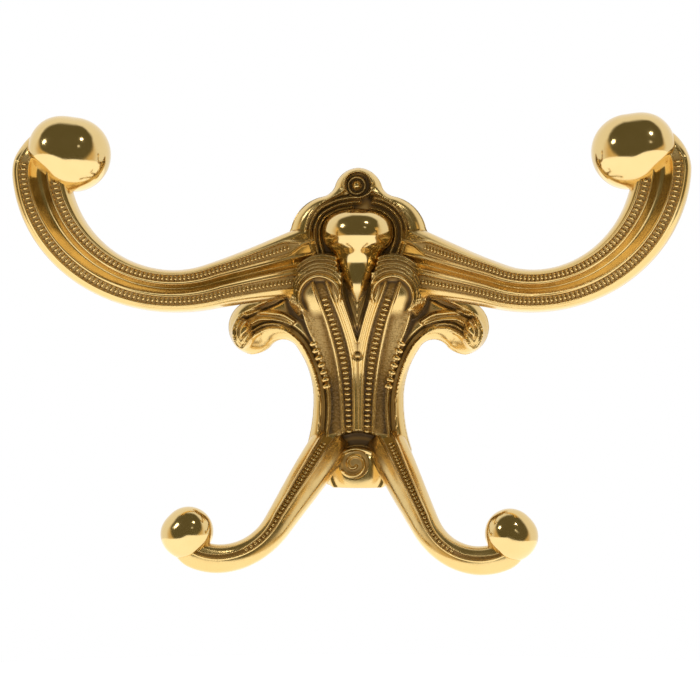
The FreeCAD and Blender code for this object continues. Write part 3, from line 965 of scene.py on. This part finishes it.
    def recess_patina_and_shade(self, depth: np.ndarray, signed: np.ndarray, stipple: np.ndarray) -> np.ndarray:
        """Patina that has settled in the recesses, with painted shade there: darker where a point lies below
        the blurred carving around it and over the sunk ground.

        Args:
            depth: depth of the plate.
            signed: distance inside the outline.
            stipple: stipple of the grounds.

        Returns:
            How dark each point is, 0 to 1.
        """
        # Painted shade with patina: darker below the blurred carving around each point and over the sunk
        # ground.
        around = blurred(depth, signed > -self.step, self.patina_and_shade_reach)
        recess = np.clip((around - depth) / self.patina_and_shade_sink, 0, 1)
        sunk = np.clip((5.9 - depth) / 1.3, 0, 1) * ease(2.2, 3.2, signed)
        return np.clip(recess + 0.45 * sunk + 0.40 * stipple, 0, 1) * ease(0.7, 2.0, signed)

    def build(self) -> bpy.types.Object:
        """Carve the front over a grid clipped to the outline, and close it with walls and a back.

        Returns:
            The plate.
        """
        low, high = self.outline.min(axis=0) - self.step, self.outline.max(axis=0) + self.step
        spans = [np.arange(start, end + self.step, self.step) for start, end in zip(low, high)]
        x, z = np.meshgrid(*spans)
        gap, near_x, near_z = path_field(x, z, self.outline, True)
        signed = np.where(inside(x, z, self.outline), gap, -gap)
        snapped = signed < self.snap * self.step
        x, z = np.where(snapped, near_x, x), np.where(snapped, near_z, z)
        depth, stipple = self.heights(x, z)
        # Patina and painted shade in the recesses of the plate.
        patina_and_shade = self.recess_patina_and_shade(depth, signed, stipple)
        quads, used = self.cells(~snapped)
        front = np.stack([grid.ravel()[used] for grid in (x, depth, z)], axis=1)
        points, faces = self.walled(front, quads)
        plain = np.zeros(len(points) - len(front))
        shades = [np.concatenate([grid.ravel()[used], plain]) for grid in (patina_and_shade, stipple)]
        return make_piece("cartouche", points, faces, *shades)

    def cells(self, kept: np.ndarray) -> tuple[np.ndarray, np.ndarray]:
        """Quads of the grid with at least one kept corner.

        Args:
            kept: True at the grid points inside the outline.

        Returns:
            Corners of each quad, and the grid points that they stand for.
        """
        rows, columns = np.nonzero(kept[:-1, :-1] | kept[:-1, 1:] | kept[1:, 1:] | kept[1:, :-1])
        wide = kept.shape[1]
        corner = rows * wide + columns
        quads = np.stack([corner, corner + 1, corner + wide + 1, corner + wide], axis=1)
        used, places = np.unique(quads, return_inverse=True)
        return places.reshape(quads.shape), used

    def walled(self, front: np.ndarray, quads: np.ndarray) -> tuple[np.ndarray, list]:
        """Walls from the rim of the front down to the flat back.

        Args:
            front: points of the carved front.
            quads: corners of its quads.

        Returns:
            Points and faces of the whole plate, the front's first.
        """
        edges = np.vstack([quads[:, [i, (i + 1) % 4]] for i in range(4)])
        _, first, count = np.unique(np.sort(edges, axis=1), axis=0, return_index=True, return_counts=True)
        rim = edges[first[count == 1]]
        rim_points = np.unique(rim)
        ends = np.searchsorted(rim_points, rim)
        points, faces = [front], quads.tolist()
        above, start = rim_points, len(front)
        for row in range(1, self.wall_rows + 1):
            points.append(front[rim_points] * (1.0, 1 - row / self.wall_rows, 1.0))
            below = start + np.arange(len(rim_points))
            walls = [above[ends[:, 1]], above[ends[:, 0]], below[ends[:, 0]], below[ends[:, 1]]]
            faces += np.stack(walls, axis=1).tolist()
            above, start = below, start + len(rim_points)
        back_points, back_faces = self.back(front[rim_points][:, [0, 2]], ends)
        faces += [[start + corner for corner in face] for face in back_faces]
        return np.vstack([*points, back_points]), faces

    def back(self, ring: np.ndarray, ring_edges: np.ndarray) -> tuple[np.ndarray, list]:
        """Flat back with two blind stud holes.

        Args:
            ring: points of the outline.
            ring_edges: pairs of neighbours in the ring.

        Returns:
            Points and faces of the back and of its holes.
        """
        corners = [Vector((px, pz)) for px, pz in ring]
        edges = [(int(first), int(last)) for first, last in ring_edges]
        turns = np.linspace(0, 2 * math.pi, self.hole_spokes, endpoint=False)
        circle = [(self.hole_radius * math.cos(turn), self.hole_radius * math.sin(turn)) for turn in turns]
        holes = (self.hole_offset, -self.hole_offset)
        for centre in holes:
            start = len(corners)
            corners += [Vector((across, centre + up)) for across, up in circle]
            edges += [(start + i, start + (i + 1) % self.hole_spokes) for i in range(self.hole_spokes)]
        found, _, faces, *_ = delaunay_2d_cdt(corners, edges, [], 1, 1e-6)
        points = [(place.x, 0.0, place.y) for place in found]
        kept = []
        for face in faces:
            middle = sum((found[i] for i in face), Vector((0, 0))) / len(face)
            if all(math.hypot(middle.x, middle.y - hole) > self.hole_radius * 0.97 for hole in holes):
                kept.append(list(face))
        for centre in holes:
            start = len(points)
            for depth in (0.0, self.hole_depth / 2, self.hole_depth - self.hole_cone):
                points += [(across, depth, centre + up) for across, up in circle]
            points.append((0.0, self.hole_depth, centre))
            kept += [[start + corner for corner in quad] for quad in ring_faces(3, self.hole_spokes)]
            tip, last = len(points) - 1, start + 2 * self.hole_spokes
            kept += [[last + i, last + (i + 1) % self.hole_spokes, tip] for i in range(self.hole_spokes)]
        return np.array(points), kept


@dataclass
class Boss:
    """Polished pear-shaped boss that drips down to a point between the leaves."""

    profile: Path = (
        (0.0, 28.5), (3.4, 28.1), (5.9, 27.2), (7.6, 25.8), (8.4, 24.1), (8.6, 22.3), (8.2, 20.5),
        (7.2, 18.9), (5.9, 17.6), (5.1, 16.3), (4.5, 14.9), (4.0, 13.2), (3.4, 11.2), (2.5, 9.0),
        (1.4, 7.2), (0.0, 5.4),
    )
    axis_depth: float = 6.0
    back_depth: float = 1.5
    neck_lift: float = 2.6
    # Patina and painted shade on the neck where it sinks between the leaves.
    neck_patina_and_shade: float = 0.3
    rings: int = 110
    spokes: int = 96

    def radius(self, z: np.ndarray) -> np.ndarray:
        """Radius of the pear at each height."""
        line = smooth_path(self.profile, 0.2)
        return np.interp(z, line[::-1, 1], line[::-1, 0])

    def build(self) -> bpy.types.Object:
        """Turn the pear's profile, its neck lifted over the V between the leaves.

        Returns:
            The boss.
        """
        share = (1 - np.cos(np.linspace(0, np.pi, self.rings))) / 2
        top, tip = self.profile[0][1], self.profile[-1][1]
        heights = tip + (top - tip) * share
        radii = self.radius(heights)[1:-1, None]
        turn = np.linspace(0, 2 * np.pi, self.spokes, endpoint=False)
        lift = self.axis_depth + self.neck_lift * ease(20.0, 6.0, heights)
        x = radii * np.cos(turn)
        depth = np.maximum(lift[1:-1, None] + radii * np.sin(turn), self.back_depth)
        z = np.broadcast_to(heights[1:-1, None], x.shape)
        points = np.stack([x.ravel(), depth.ravel(), z.ravel()], axis=1)
        ends = [[0.0, lift[0], heights[0]], [0.0, lift[-1], heights[-1]]]
        # Painted shade with patina, darker low on the neck between the leaves.
        shade = np.repeat(self.neck_patina_and_shade * ease(10.0, 6.0, heights[1:-1]), self.spokes)
        faces = sealed_tube(self.rings - 2, self.spokes)
        return make_piece("boss", np.vstack([points, ends]), faces, np.concatenate([shade, [0.0, 0.0]]))


@dataclass
class Knob:
    """Polished ball, swollen on the side where the arm runs into it."""

    name: str
    radius: float
    x: float
    depth: float
    z: float
    swell: float
    towards: tuple[float, float]
    swell_foot: float
    rings: int = 64
    spokes: int = 128

    def build(self, side: Side) -> bpy.types.Object:
        """Make the ball from rings round its upright axis.

        Args:
            side: which of the two balls.

        Returns:
            The ball.
        """
        tilt = np.linspace(-np.pi / 2, np.pi / 2, self.rings)[1:-1, None]
        turn = np.linspace(0, 2 * np.pi, self.spokes, endpoint=False)
        across, middle = self.towards[0] * side.value, self.x * side.value
        outwards = across * np.cos(tilt) * np.cos(turn) + self.towards[1] * np.sin(tilt)
        swell = self.swell * ease(0.0, 1.0, outwards)
        swell = swell * ease(self.swell_foot, self.swell_foot + 0.7, np.sin(tilt))
        radius = self.radius * (1 + swell)
        x = middle + radius * np.cos(tilt) * np.cos(turn)
        depth = self.depth + radius * np.cos(tilt) * np.sin(turn)
        z = self.z + radius * np.sin(tilt)
        points = np.stack([x.ravel(), depth.ravel(), z.ravel()], axis=1)
        ends = [[middle, self.depth, self.z - self.radius], [middle, self.depth, self.z + self.radius]]
        title = f"{self.name}_{side.name.lower()}"
        return make_piece(title, np.vstack([points, ends]), sealed_tube(self.rings - 2, self.spokes))


UPPER_BALL = Knob(
    name="upper_ball",
    radius=8.4,
    x=62.4,
    depth=38.2,
    z=39.2,
    swell=0.25,
    towards=(0.99, 0.12),
    swell_foot=-0.6,
)

LOWER_BALL = Knob(
    name="lower_ball",
    radius=5.6,
    x=36.1,
    depth=40.0,
    z=-45.8,
    swell=0.15,
    towards=(0.72, -0.69),
    swell_foot=-3.0,
)


@dataclass(frozen=True)
class Groove:
    """Groove along an arm's face: its middle, half width, depth and floor, and its size at root and tip."""

    middle: float
    half: float
    sink: float
    hollow: bool = False
    # Darkness of the groove's floor: patina and painted shade.
    patina_and_shade: float = 0.0
    root_share: float = 1.0
    tip_share: float = 1.0
    point_at: float = 0.0


class Section(NamedTuple):
    """Cross-section of an arm: its centre, side and front directions, width and half thickness."""

    centre: np.ndarray
    side: np.ndarray
    front: np.ndarray
    width: float
    thick: float


@dataclass
class Arm:
    """Hook arm: straight out of the plate, an arc, then a tighter curl round its ball."""

    name: str
    root_x: float
    sweep: tuple[float, float]
    sweep_radius: float
    start_angle: float
    turn_angle: float
    curl_radius: float
    end_angle: float
    depths: tuple[float, float]
    widths: tuple[float, float, float, float]
    thicknesses: tuple[float, float]
    grooves: tuple[Groove, ...]
    rim: float
    drift: float = 0.0
    fade: float = 0.12
    second_stop: float = 0.35
    root_haste: float = 1.0
    camber: float = 0.0
    crest_rise: float = 0.34
    crest_width: float = 0.055
    point_run: float = 5.0
    stations: int = 300
    face_points: int = 64
    start: float = field(init=False)
    turn: float = field(init=False)
    lengths: tuple[float, float, float] = field(init=False)

    def __post_init__(self) -> None:
        """Work out the lengths of the arm's three runs."""
        self.start = math.radians(self.start_angle)
        self.turn = math.radians(self.turn_angle)
        end = math.radians(self.end_angle)
        x = self.sweep[0] + self.sweep_radius * math.cos(self.start)
        run = (x - self.root_x) / -math.sin(self.start)
        arc = self.sweep_radius * (self.turn - self.start)
        self.lengths = (run, arc, self.curl_radius * (end - self.turn))

    def plan(self, along: float) -> tuple[float, float]:
        """Middle line of the arm as seen from the front.

        Args:
            along: distance along the arm in millimetres.

        Returns:
            Position across and upwards.
        """
        run, sweep, _ = self.lengths
        (cx, cz), radius = self.sweep, self.sweep_radius
        if along <= run:
            left = run - along
            x, z = cx + radius * math.cos(self.start), cz + radius * math.sin(self.start)
            return x + left * math.sin(self.start), z - left * math.cos(self.start)
        angle = self.start + (along - run) / radius
        if along > run + sweep:
            hub = radius - self.curl_radius
            cx, cz = cx + hub * math.cos(self.turn), cz + hub * math.sin(self.turn)
            angle, radius = self.turn + (along - run - sweep) / self.curl_radius, self.curl_radius
        return cx + radius * math.cos(angle), cz + radius * math.sin(angle)

    def progress(self, along: float) -> float:
        """Share of the way to the start of the curl."""
        return min(1.0, along / (self.lengths[0] + self.lengths[1]))

    def centre(self, along: float) -> np.ndarray:
        """Centre of the section, which swings out of the plate up to the start of the curl.

        Args:
            along: distance along the arm in millimetres.

        Returns:
            Position as across, depth and height.
        """
        x, z = self.plan(along)
        climb = math.sin(math.pi / 2 * self.progress(along))
        return np.array([x, self.depths[0] + (self.depths[1] - self.depths[0]) * climb, z])

    def width(self, along: float) -> float:
        """Width of the section, eased between four stops.

        Args:
            along: distance along the arm in millimetres.

        Returns:
            The width.
        """
        run, sweep, _ = self.lengths
        stops = (0.0, run + sweep * self.second_stop, run + sweep, sum(self.lengths))
        for index in range(3):
            if along <= stops[index + 1]:
                share = (along - stops[index]) / (stops[index + 1] - stops[index])
                share = share**self.root_haste if index == 0 else share
                blend = (1 - math.cos(math.pi * share)) / 2
                return self.widths[index] + (self.widths[index + 1] - self.widths[index]) * blend
        return self.widths[3]

    def section(self, along: float) -> Section:
        """Cross-section at one place.

        Args:
            along: distance along the arm in millimetres.

        Returns:
            The section, square to the arm's run and facing the room.
        """
        run = self.centre(along + 0.05) - self.centre(along - 0.05)
        run /= np.linalg.norm(run)
        front = np.array([0.0, 1.0, 0.0]) - run * run[1]
        front /= np.linalg.norm(front)
        side = np.cross(front, run)
        blend = min(1.0, along / self.lengths[0])
        thick = self.thicknesses[0] + (self.thicknesses[1] - self.thicknesses[0]) * blend
        return Section(self.centre(along), side, front, self.width(along), thick / 2)

    def plain(self, along: float) -> float:
        """Share of the plain rounded tip, from 0 on the grooved face to 1 behind the ball."""
        begin = self.lengths[0] + self.lengths[1] + self.lengths[2] * self.fade
        return float(ease(begin, begin + self.lengths[2] * 0.2, np.array(along)))

    def relief(self, across: np.ndarray, along: float) -> tuple[np.ndarray, np.ndarray]:
        """Height, and patina with painted shade, of the face across the section: grooves with crisp crests
        between them.

        Args:
            across: position as a share of the width.
            along: distance along the arm in millimetres.

        Returns:
            Height over the smooth face in millimetres, and patina with painted shade in the grooves.
        """
        lift, dark = np.zeros_like(across), np.zeros_like(across)
        share = self.progress(along)
        for groove in self.grooves:
            point = 1.0
            if groove.point_at:
                point = float(ease(groove.point_at, groove.point_at + self.point_run, np.array(along)))
            size = (groove.root_share + (groove.tip_share - groove.root_share) * share) * max(point, 0.02)
            half = groove.half * size
            place = (across - groove.middle) / max(half, 1e-3)
            floor = np.clip(1 - place**2, 0, 1) if groove.hollow else ease(1.0, 0.74, np.abs(place))
            lift -= groove.sink * floor * min(1.0, size * 1.4)
            # Patina and painted shade in the groove floors.
            dark = np.maximum(dark, groove.patina_and_shade * floor)
            for edge in (-1, 1):
                beside = np.abs(across - groove.middle - edge * (half + 0.014))
                lift += self.crest_rise * crest(beside, self.crest_width)
        grooved = 1 - self.plain(along)
        return lift * grooved, dark * grooved

    def shift(self, along: float) -> float:
        """Sideways drift of the grooves as a share of the width, greatest halfway along."""
        return self.drift * math.sin(math.pi * self.progress(along))

    def profile(self) -> tuple[np.ndarray, np.ndarray, np.ndarray]:
        """Plain section: a grooved face between two flanks, and a round back.

        Returns:
            Positions as shares of the width and of the half thickness, and which of them are the face.
        """
        face = np.linspace(self.rim, -self.rim, self.face_points)
        turn = np.linspace(0, np.pi / 2, 12)[1:]
        flank_across = self.rim + (0.5 - self.rim) * np.sin(turn)
        flank_out = 0.05 + 0.95 * np.cos(turn)
        back = np.linspace(0, np.pi, 26)[1:-1]
        across = np.concatenate([face, -flank_across, -0.5 * np.cos(back), flank_across[::-1]])
        out = np.concatenate([np.ones_like(face), flank_out, 0.05 - 1.05 * np.sin(back), flank_out[::-1]])
        return across, out, np.arange(len(across)) < len(face)

    def build(self, side: Side) -> bpy.types.Object:
        """Sweep the section along the arm.

        Args:
            side: which of the two arms.

        Returns:
            The arm.
        """
        total = sum(self.lengths)
        across, out, on_face = self.profile()
        rings, shades = [], []
        for along in np.linspace(0, total, self.stations).tolist():
            section = self.section(along)
            lift, dark = self.relief(across, along)
            tip = np.maximum(self.plain(along), self.camber) * (out > 0)
            rise = (dome(across / 0.5) * tip + out * (1 - tip)) * section.thick + lift * on_face
            place = across + self.shift(along) * np.cos(across * math.pi) * (out > 0)
            ring = section.centre + np.outer(place * section.width, section.side)
            rings.append(ring + np.outer(rise, section.front))
            shades.append(dark * on_face)
        points = np.vstack([*rings, self.centre(0.0), self.centre(total)])
        points[:, 0] *= side.value
        title = f"{self.name}_{side.name.lower()}"
        faces = sealed_tube(self.stations, len(across))
        return make_piece(title, points, faces, np.concatenate([*shades, [0.0, 0.0]]))

    def bead_lines(self, span: tuple[float, float], lift: float, side: Side) -> list[np.ndarray]:
        """Paths for beads along the flat-floored grooves.

        Args:
            span: distances along the arm where they begin and end.
            lift: height over the smooth face in millimetres.
            side: which of the two arms.

        Returns:
            Points of each path.
        """
        paths = []
        for across in (groove.middle for groove in self.grooves if not groove.hollow):
            sag = self.camber * (1 - math.sqrt(1 - (across / 0.5) ** 2))
            points = []
            for along in np.linspace(*span, 120).tolist():
                section = self.section(along)
                place = across + self.shift(along) * math.cos(across * math.pi)
                rise = section.thick * (1 - sag) + lift
                points.append(section.centre + section.side * place * section.width + section.front * rise)
            paths.append(np.array(points) * (side.value, 1, 1))
        return paths


UPPER_ARM = Arm(
    name="upper_arm",
    root_x=10.5,
    sweep=(41.4, 36.7),
    sweep_radius=28.3,
    start_angle=-106.0,
    turn_angle=-4.0,
    curl_radius=7.0,
    end_angle=104.0,
    depths=(3.4, 38.4),
    widths=(17.2, 9.8, 12.9, 7.6),
    thicknesses=(5.4, 9.0),
    # Groove darkness is patina and painted shade in the groove floors.
    grooves=(
        Groove(0.0, half=0.145, sink=2.0, hollow=True, root_share=0.45, tip_share=1.05),
        Groove(0.262, half=0.080, sink=0.55, patina_and_shade=0.42, root_share=1.25, tip_share=0.92, point_at=3.0),
        Groove(-0.268, half=0.080, sink=0.55, patina_and_shade=0.42, root_share=1.25, point_at=3.0),
    ),
    rim=0.395,
    drift=-0.06,
    second_stop=0.2,
    root_haste=0.68,
)

LOWER_ARM = Arm(
    name="lower_arm",
    root_x=6.4,
    sweep=(29.0, -38.0),
    sweep_radius=14.0,
    start_angle=-149.0,
    turn_angle=-66.0,
    curl_radius=4.8,
    end_angle=24.0,
    depths=(3.4, 40.0),
    widths=(9.6, 6.2, 6.6, 4.6),
    thicknesses=(6.0, 6.4),
    # Groove darkness is patina and painted shade in the groove floor.
    grooves=(Groove(-0.13, half=0.15, sink=0.75, patina_and_shade=0.6, tip_share=0.40),),
    rim=0.36,
    camber=0.75,
    stations=200,
    face_points=40,
)


@dataclass(frozen=True)
class Patch:
    """Soft-edged patch of the surround: its direction, where its edge starts and ends, how uneven it is."""

    direction: tuple[float, float, float]
    low: float
    high: float
    wobble: float = 0.0
    cloud_scale: float = 2.6
    cloud_detail: float = 2.0

    def share(self, bench: NodeBench, way: Socket) -> Socket:
        """Share of the patch in each direction.

        Args:
            bench: the world's bench.
            way: direction of the surround.

        Returns:
            The node's output.
        """
        dot = bench.add("ShaderNodeVectorMath")
        dot.operation = "DOT_PRODUCT"
        bench.feed(dot.inputs[0], way)
        bench.feed(dot.inputs[1], Vector(self.direction).normalized())
        cloud = bench.add("ShaderNodeTexNoise", vector=way, scale=self.cloud_scale, detail=self.cloud_detail)
        edge = bench.maths("MULTIPLY_ADD", cloud.outputs["Fac"], self.wobble, dot.outputs["Value"])
        return bench.remap(edge, (self.low, self.high), 0.0, 1.0, "SMOOTHSTEP")


@dataclass(frozen=True)
class Lamp:
    """Soft round lamp: its place, its width in metres and its power in watts."""

    name: str
    spot: tuple[float, float, float]
    size: float
    power: float

    def build(self) -> None:
        """Hang the lamp, turned to the hook."""
        data = bpy.data.lights.new(self.name, "AREA")
        data.shape = "DISK"
        data.size = self.size
        data.energy = self.power
        lamp = bpy.data.objects.new(self.name, data)
        lamp.location = self.spot
        lamp.rotation_euler = (-Vector(self.spot)).to_track_quat("-Z", "Y").to_euler()
        bpy.context.scene.collection.objects.link(lamp)


@dataclass
class Studio:
    """Pale floor, soft light and the camera at the photograph's angle."""

    floor_z: float = -0.20
    floor_radius: float = 0.75
    floor_sides: int = 96
    floor_colour: Colour = (0.86, 0.86, 0.85)
    floor_rough: float = 0.9
    floor_glow: float = 0.50
    white: Colour = (1.0, 1.0, 1.0)
    room_colour: Colour = (0.76, 0.57, 0.29)
    core_colour: Colour = (0.125, 0.110, 0.058)
    above: Patch = Patch((0.0, 0.0, 1.0), -0.52, -0.26, 0.12)
    room: Patch = Patch((0.0, -1.0, 0.0), 0.0, 0.50, 0.16)
    core: Patch = Patch((0.04, -0.80, 0.60), 0.42, 0.62, 0.22)
    window: Patch = Patch((0.42, -0.84, 0.36), 0.9975, 0.9985)
    key: Lamp = Lamp("key_lamp", (0.7, -0.9, 1.1), 0.18, 1.0)
    fill: Lamp = Lamp("fill_lamp", (-0.9, -0.7, 0.6), 0.24, 0.9)
    distance: float = 0.52
    azimuth: float = 3.8
    elevation: float = 1.0
    lens: float = 110.3
    aim: tuple[float, float] = (-0.0023, -0.0056)

    def floor(self) -> None:
        """Round pale floor well below the hook, white where it is seen and plain where it lights the hook."""
        bpy.ops.mesh.primitive_circle_add(
            vertices=self.floor_sides,
            radius=self.floor_radius,
            fill_type="NGON",
            location=(0, 0, self.floor_z),
        )
        floor = bpy.context.object
        floor.name = "floor"
        material = bpy.data.materials.new("pale_floor")
        material.use_nodes = True
        bench = NodeBench(material.node_tree)
        shader = material.node_tree.nodes["Principled BSDF"]
        shader.inputs["Base Color"].default_value = (*self.floor_colour, 1.0)
        shader.inputs["Roughness"].default_value = self.floor_rough
        shader.inputs["Emission Color"].default_value = (*self.white, 1.0)
        rays = bench.add("ShaderNodeLightPath").outputs
        shown = bench.maths("MAXIMUM", rays["Is Camera Ray"], rays["Is Glossy Ray"])
        shown = bench.maths("MAXIMUM", shown, rays["Is Transmission Ray"])
        bench.feed(shader.inputs["Emission Strength"], bench.maths("MULTIPLY", shown, self.floor_glow))
        floor.data.materials.append(material)

    def world(self) -> None:
        """White surround; only polished metal mirrors the dim room in front of the hook."""
        world = bpy.data.worlds.new("soft_surround")
        bpy.context.scene.world = world
        world.use_nodes = True
        bench = NodeBench(world.node_tree)
        background = world.node_tree.nodes["Background"]
        background.inputs["Strength"].default_value = 1.0
        way = bench.add("ShaderNodeTexCoord").outputs["Generated"]
        above = self.above.share(bench, way)
        colour = self.white
        for patch, tint in ((self.room, self.room_colour), (self.core, self.core_colour)):
            share = bench.maths("MULTIPLY", patch.share(bench, way), above)
            colour = bench.blend(share, colour, tint)
        colour = bench.blend(self.window.share(bench, way), colour, self.white)
        glossy = bench.add("ShaderNodeLightPath").outputs["Is Glossy Ray"]
        unmirrored = bench.maths("SUBTRACT", 1.0, glossy)
        bench.feed(background.inputs["Color"], bench.blend(unmirrored, colour, self.white))

    def camera(self) -> None:
        """Camera at the photograph's angle."""
        turn, rise = math.radians(self.azimuth), math.radians(self.elevation)
        back = Vector((math.sin(turn) * math.cos(rise), -math.cos(turn) * math.cos(rise), math.sin(rise)))
        data = bpy.data.cameras.new("camera")
        data.lens = self.lens
        data.clip_start = 0.01
        camera = bpy.data.objects.new("camera", data)
        camera.location = Vector((self.aim[0], 0.0, self.aim[1])) + back * self.distance
        camera.rotation_euler = (-back).to_track_quat("-Z", "Y").to_euler()
        bpy.context.scene.collection.objects.link(camera)
        bpy.context.scene.camera = camera

    def build(self) -> None:
        """Set up the floor, the surround, the lamps and the camera."""
        self.floor()
        self.world()
        self.key.build()
        self.fill.build()
        self.camera()
        bpy.context.scene.view_settings.view_transform = "Standard"


@dataclass
class RobeHook:
    """The whole casting: cartouche, boss, arms, knobs and rows of beads."""

    relief: Brass = Brass("carved_brass")
    polish: Brass = Brass("polished_brass", clean=(0.78, 0.58, 0.26), worn=(0.68, 0.46, 0.17), rough=0.12)
    beading: Brass = Brass("bead_brass", clean=(0.78, 0.55, 0.22))
    cartouche: Cartouche = field(default_factory=Cartouche)
    rung_path: Path = ((7.5, 6.6), (4.6, -2.6), (3.05, -10.4), (2.4, -18.0), (2.2, -25.0))
    dentil_path: Path = ((10.5, -3.9), (8.75, -9.0), (7.4, -14.2))
    upper_span: tuple[float, float] = (6.5, 1.6)
    lower_span: tuple[float, float] = (3.0, 30.0)
    upper_lift: float = -0.4
    lower_lift: float = -0.6
    rung_lift: float = 0.2
    dentil_lift: float = 0.5
    upper_bead: BeadSize = BeadSize(pitch=1.1, run=0.75, breadth=1.4, rise=0.75)
    lower_bead: BeadSize = BeadSize(pitch=1.35, run=0.9, breadth=1.5, rise=0.9)
    rung: BeadSize = BeadSize(pitch=1.25, run=0.85, breadth=1.8, rise=1.0)
    dentil: BeadSize = BeadSize(pitch=1.75, run=1.45, breadth=2.2, rise=1.6)

    def build(self) -> None:
        """Build and dress each piece in order."""
        carved, polished = self.relief.build(), self.polish.build()
        dress(self.cartouche.build(), carved)
        dress(Boss().build(), polished)
        for side in Side:
            for arm in (UPPER_ARM, LOWER_ARM):
                dress(arm.build(side), carved)
            for ball in (UPPER_BALL, LOWER_BALL):
                dress(ball.build(side), polished)
        self.rows(self.beading.build())

    def row(self, path: Path, lift: float, side: Side) -> np.ndarray:
        """Path laid over the carving.

        Args:
            path: control points on the right half.
            lift: height over the carving in millimetres.
            side: which half it lies on.

        Returns:
            Points as across, depth and height.
        """
        x, z = smooth_path(path, 0.5).T
        depth = self.cartouche.heights(x[None, :], z[None, :])[0][0]
        return np.stack([x * side.value, depth + lift, z], axis=1)

    def rows(self, finish: bpy.types.Material) -> None:
        """Rows of beads and rungs, by Geometry Nodes.

        Args:
            finish: the beads' material.
        """
        tree = BeadTree()
        start, past_curl = self.upper_span
        upper_span = (start, sum(UPPER_ARM.lengths[:2]) + past_curl)
        upper, lower, rungs, dentils = [], [], [], []
        for side in Side:
            upper += UPPER_ARM.bead_lines(upper_span, self.upper_lift, side)
            lower += LOWER_ARM.bead_lines(self.lower_span, self.lower_lift, side)
            rungs.append(self.row(self.rung_path, self.rung_lift, side))
            dentils.append(self.row(self.dentil_path, self.dentil_lift, side))
        tree.beads("upper_beads", upper, self.upper_bead, finish)
        tree.beads("lower_beads", lower, self.lower_bead, finish)
        tree.beads("ladder_rungs", rungs, self.rung, finish)
        tree.beads("leaf_dentils", dentils, self.dentil, finish)


def main() -> None:
    """Build the hook and the studio."""
    logging.basicConfig(level=logging.INFO, format="%(message)s")
    RobeHook().build()
    Studio().build()


if __name__ == "__main__":
    main()
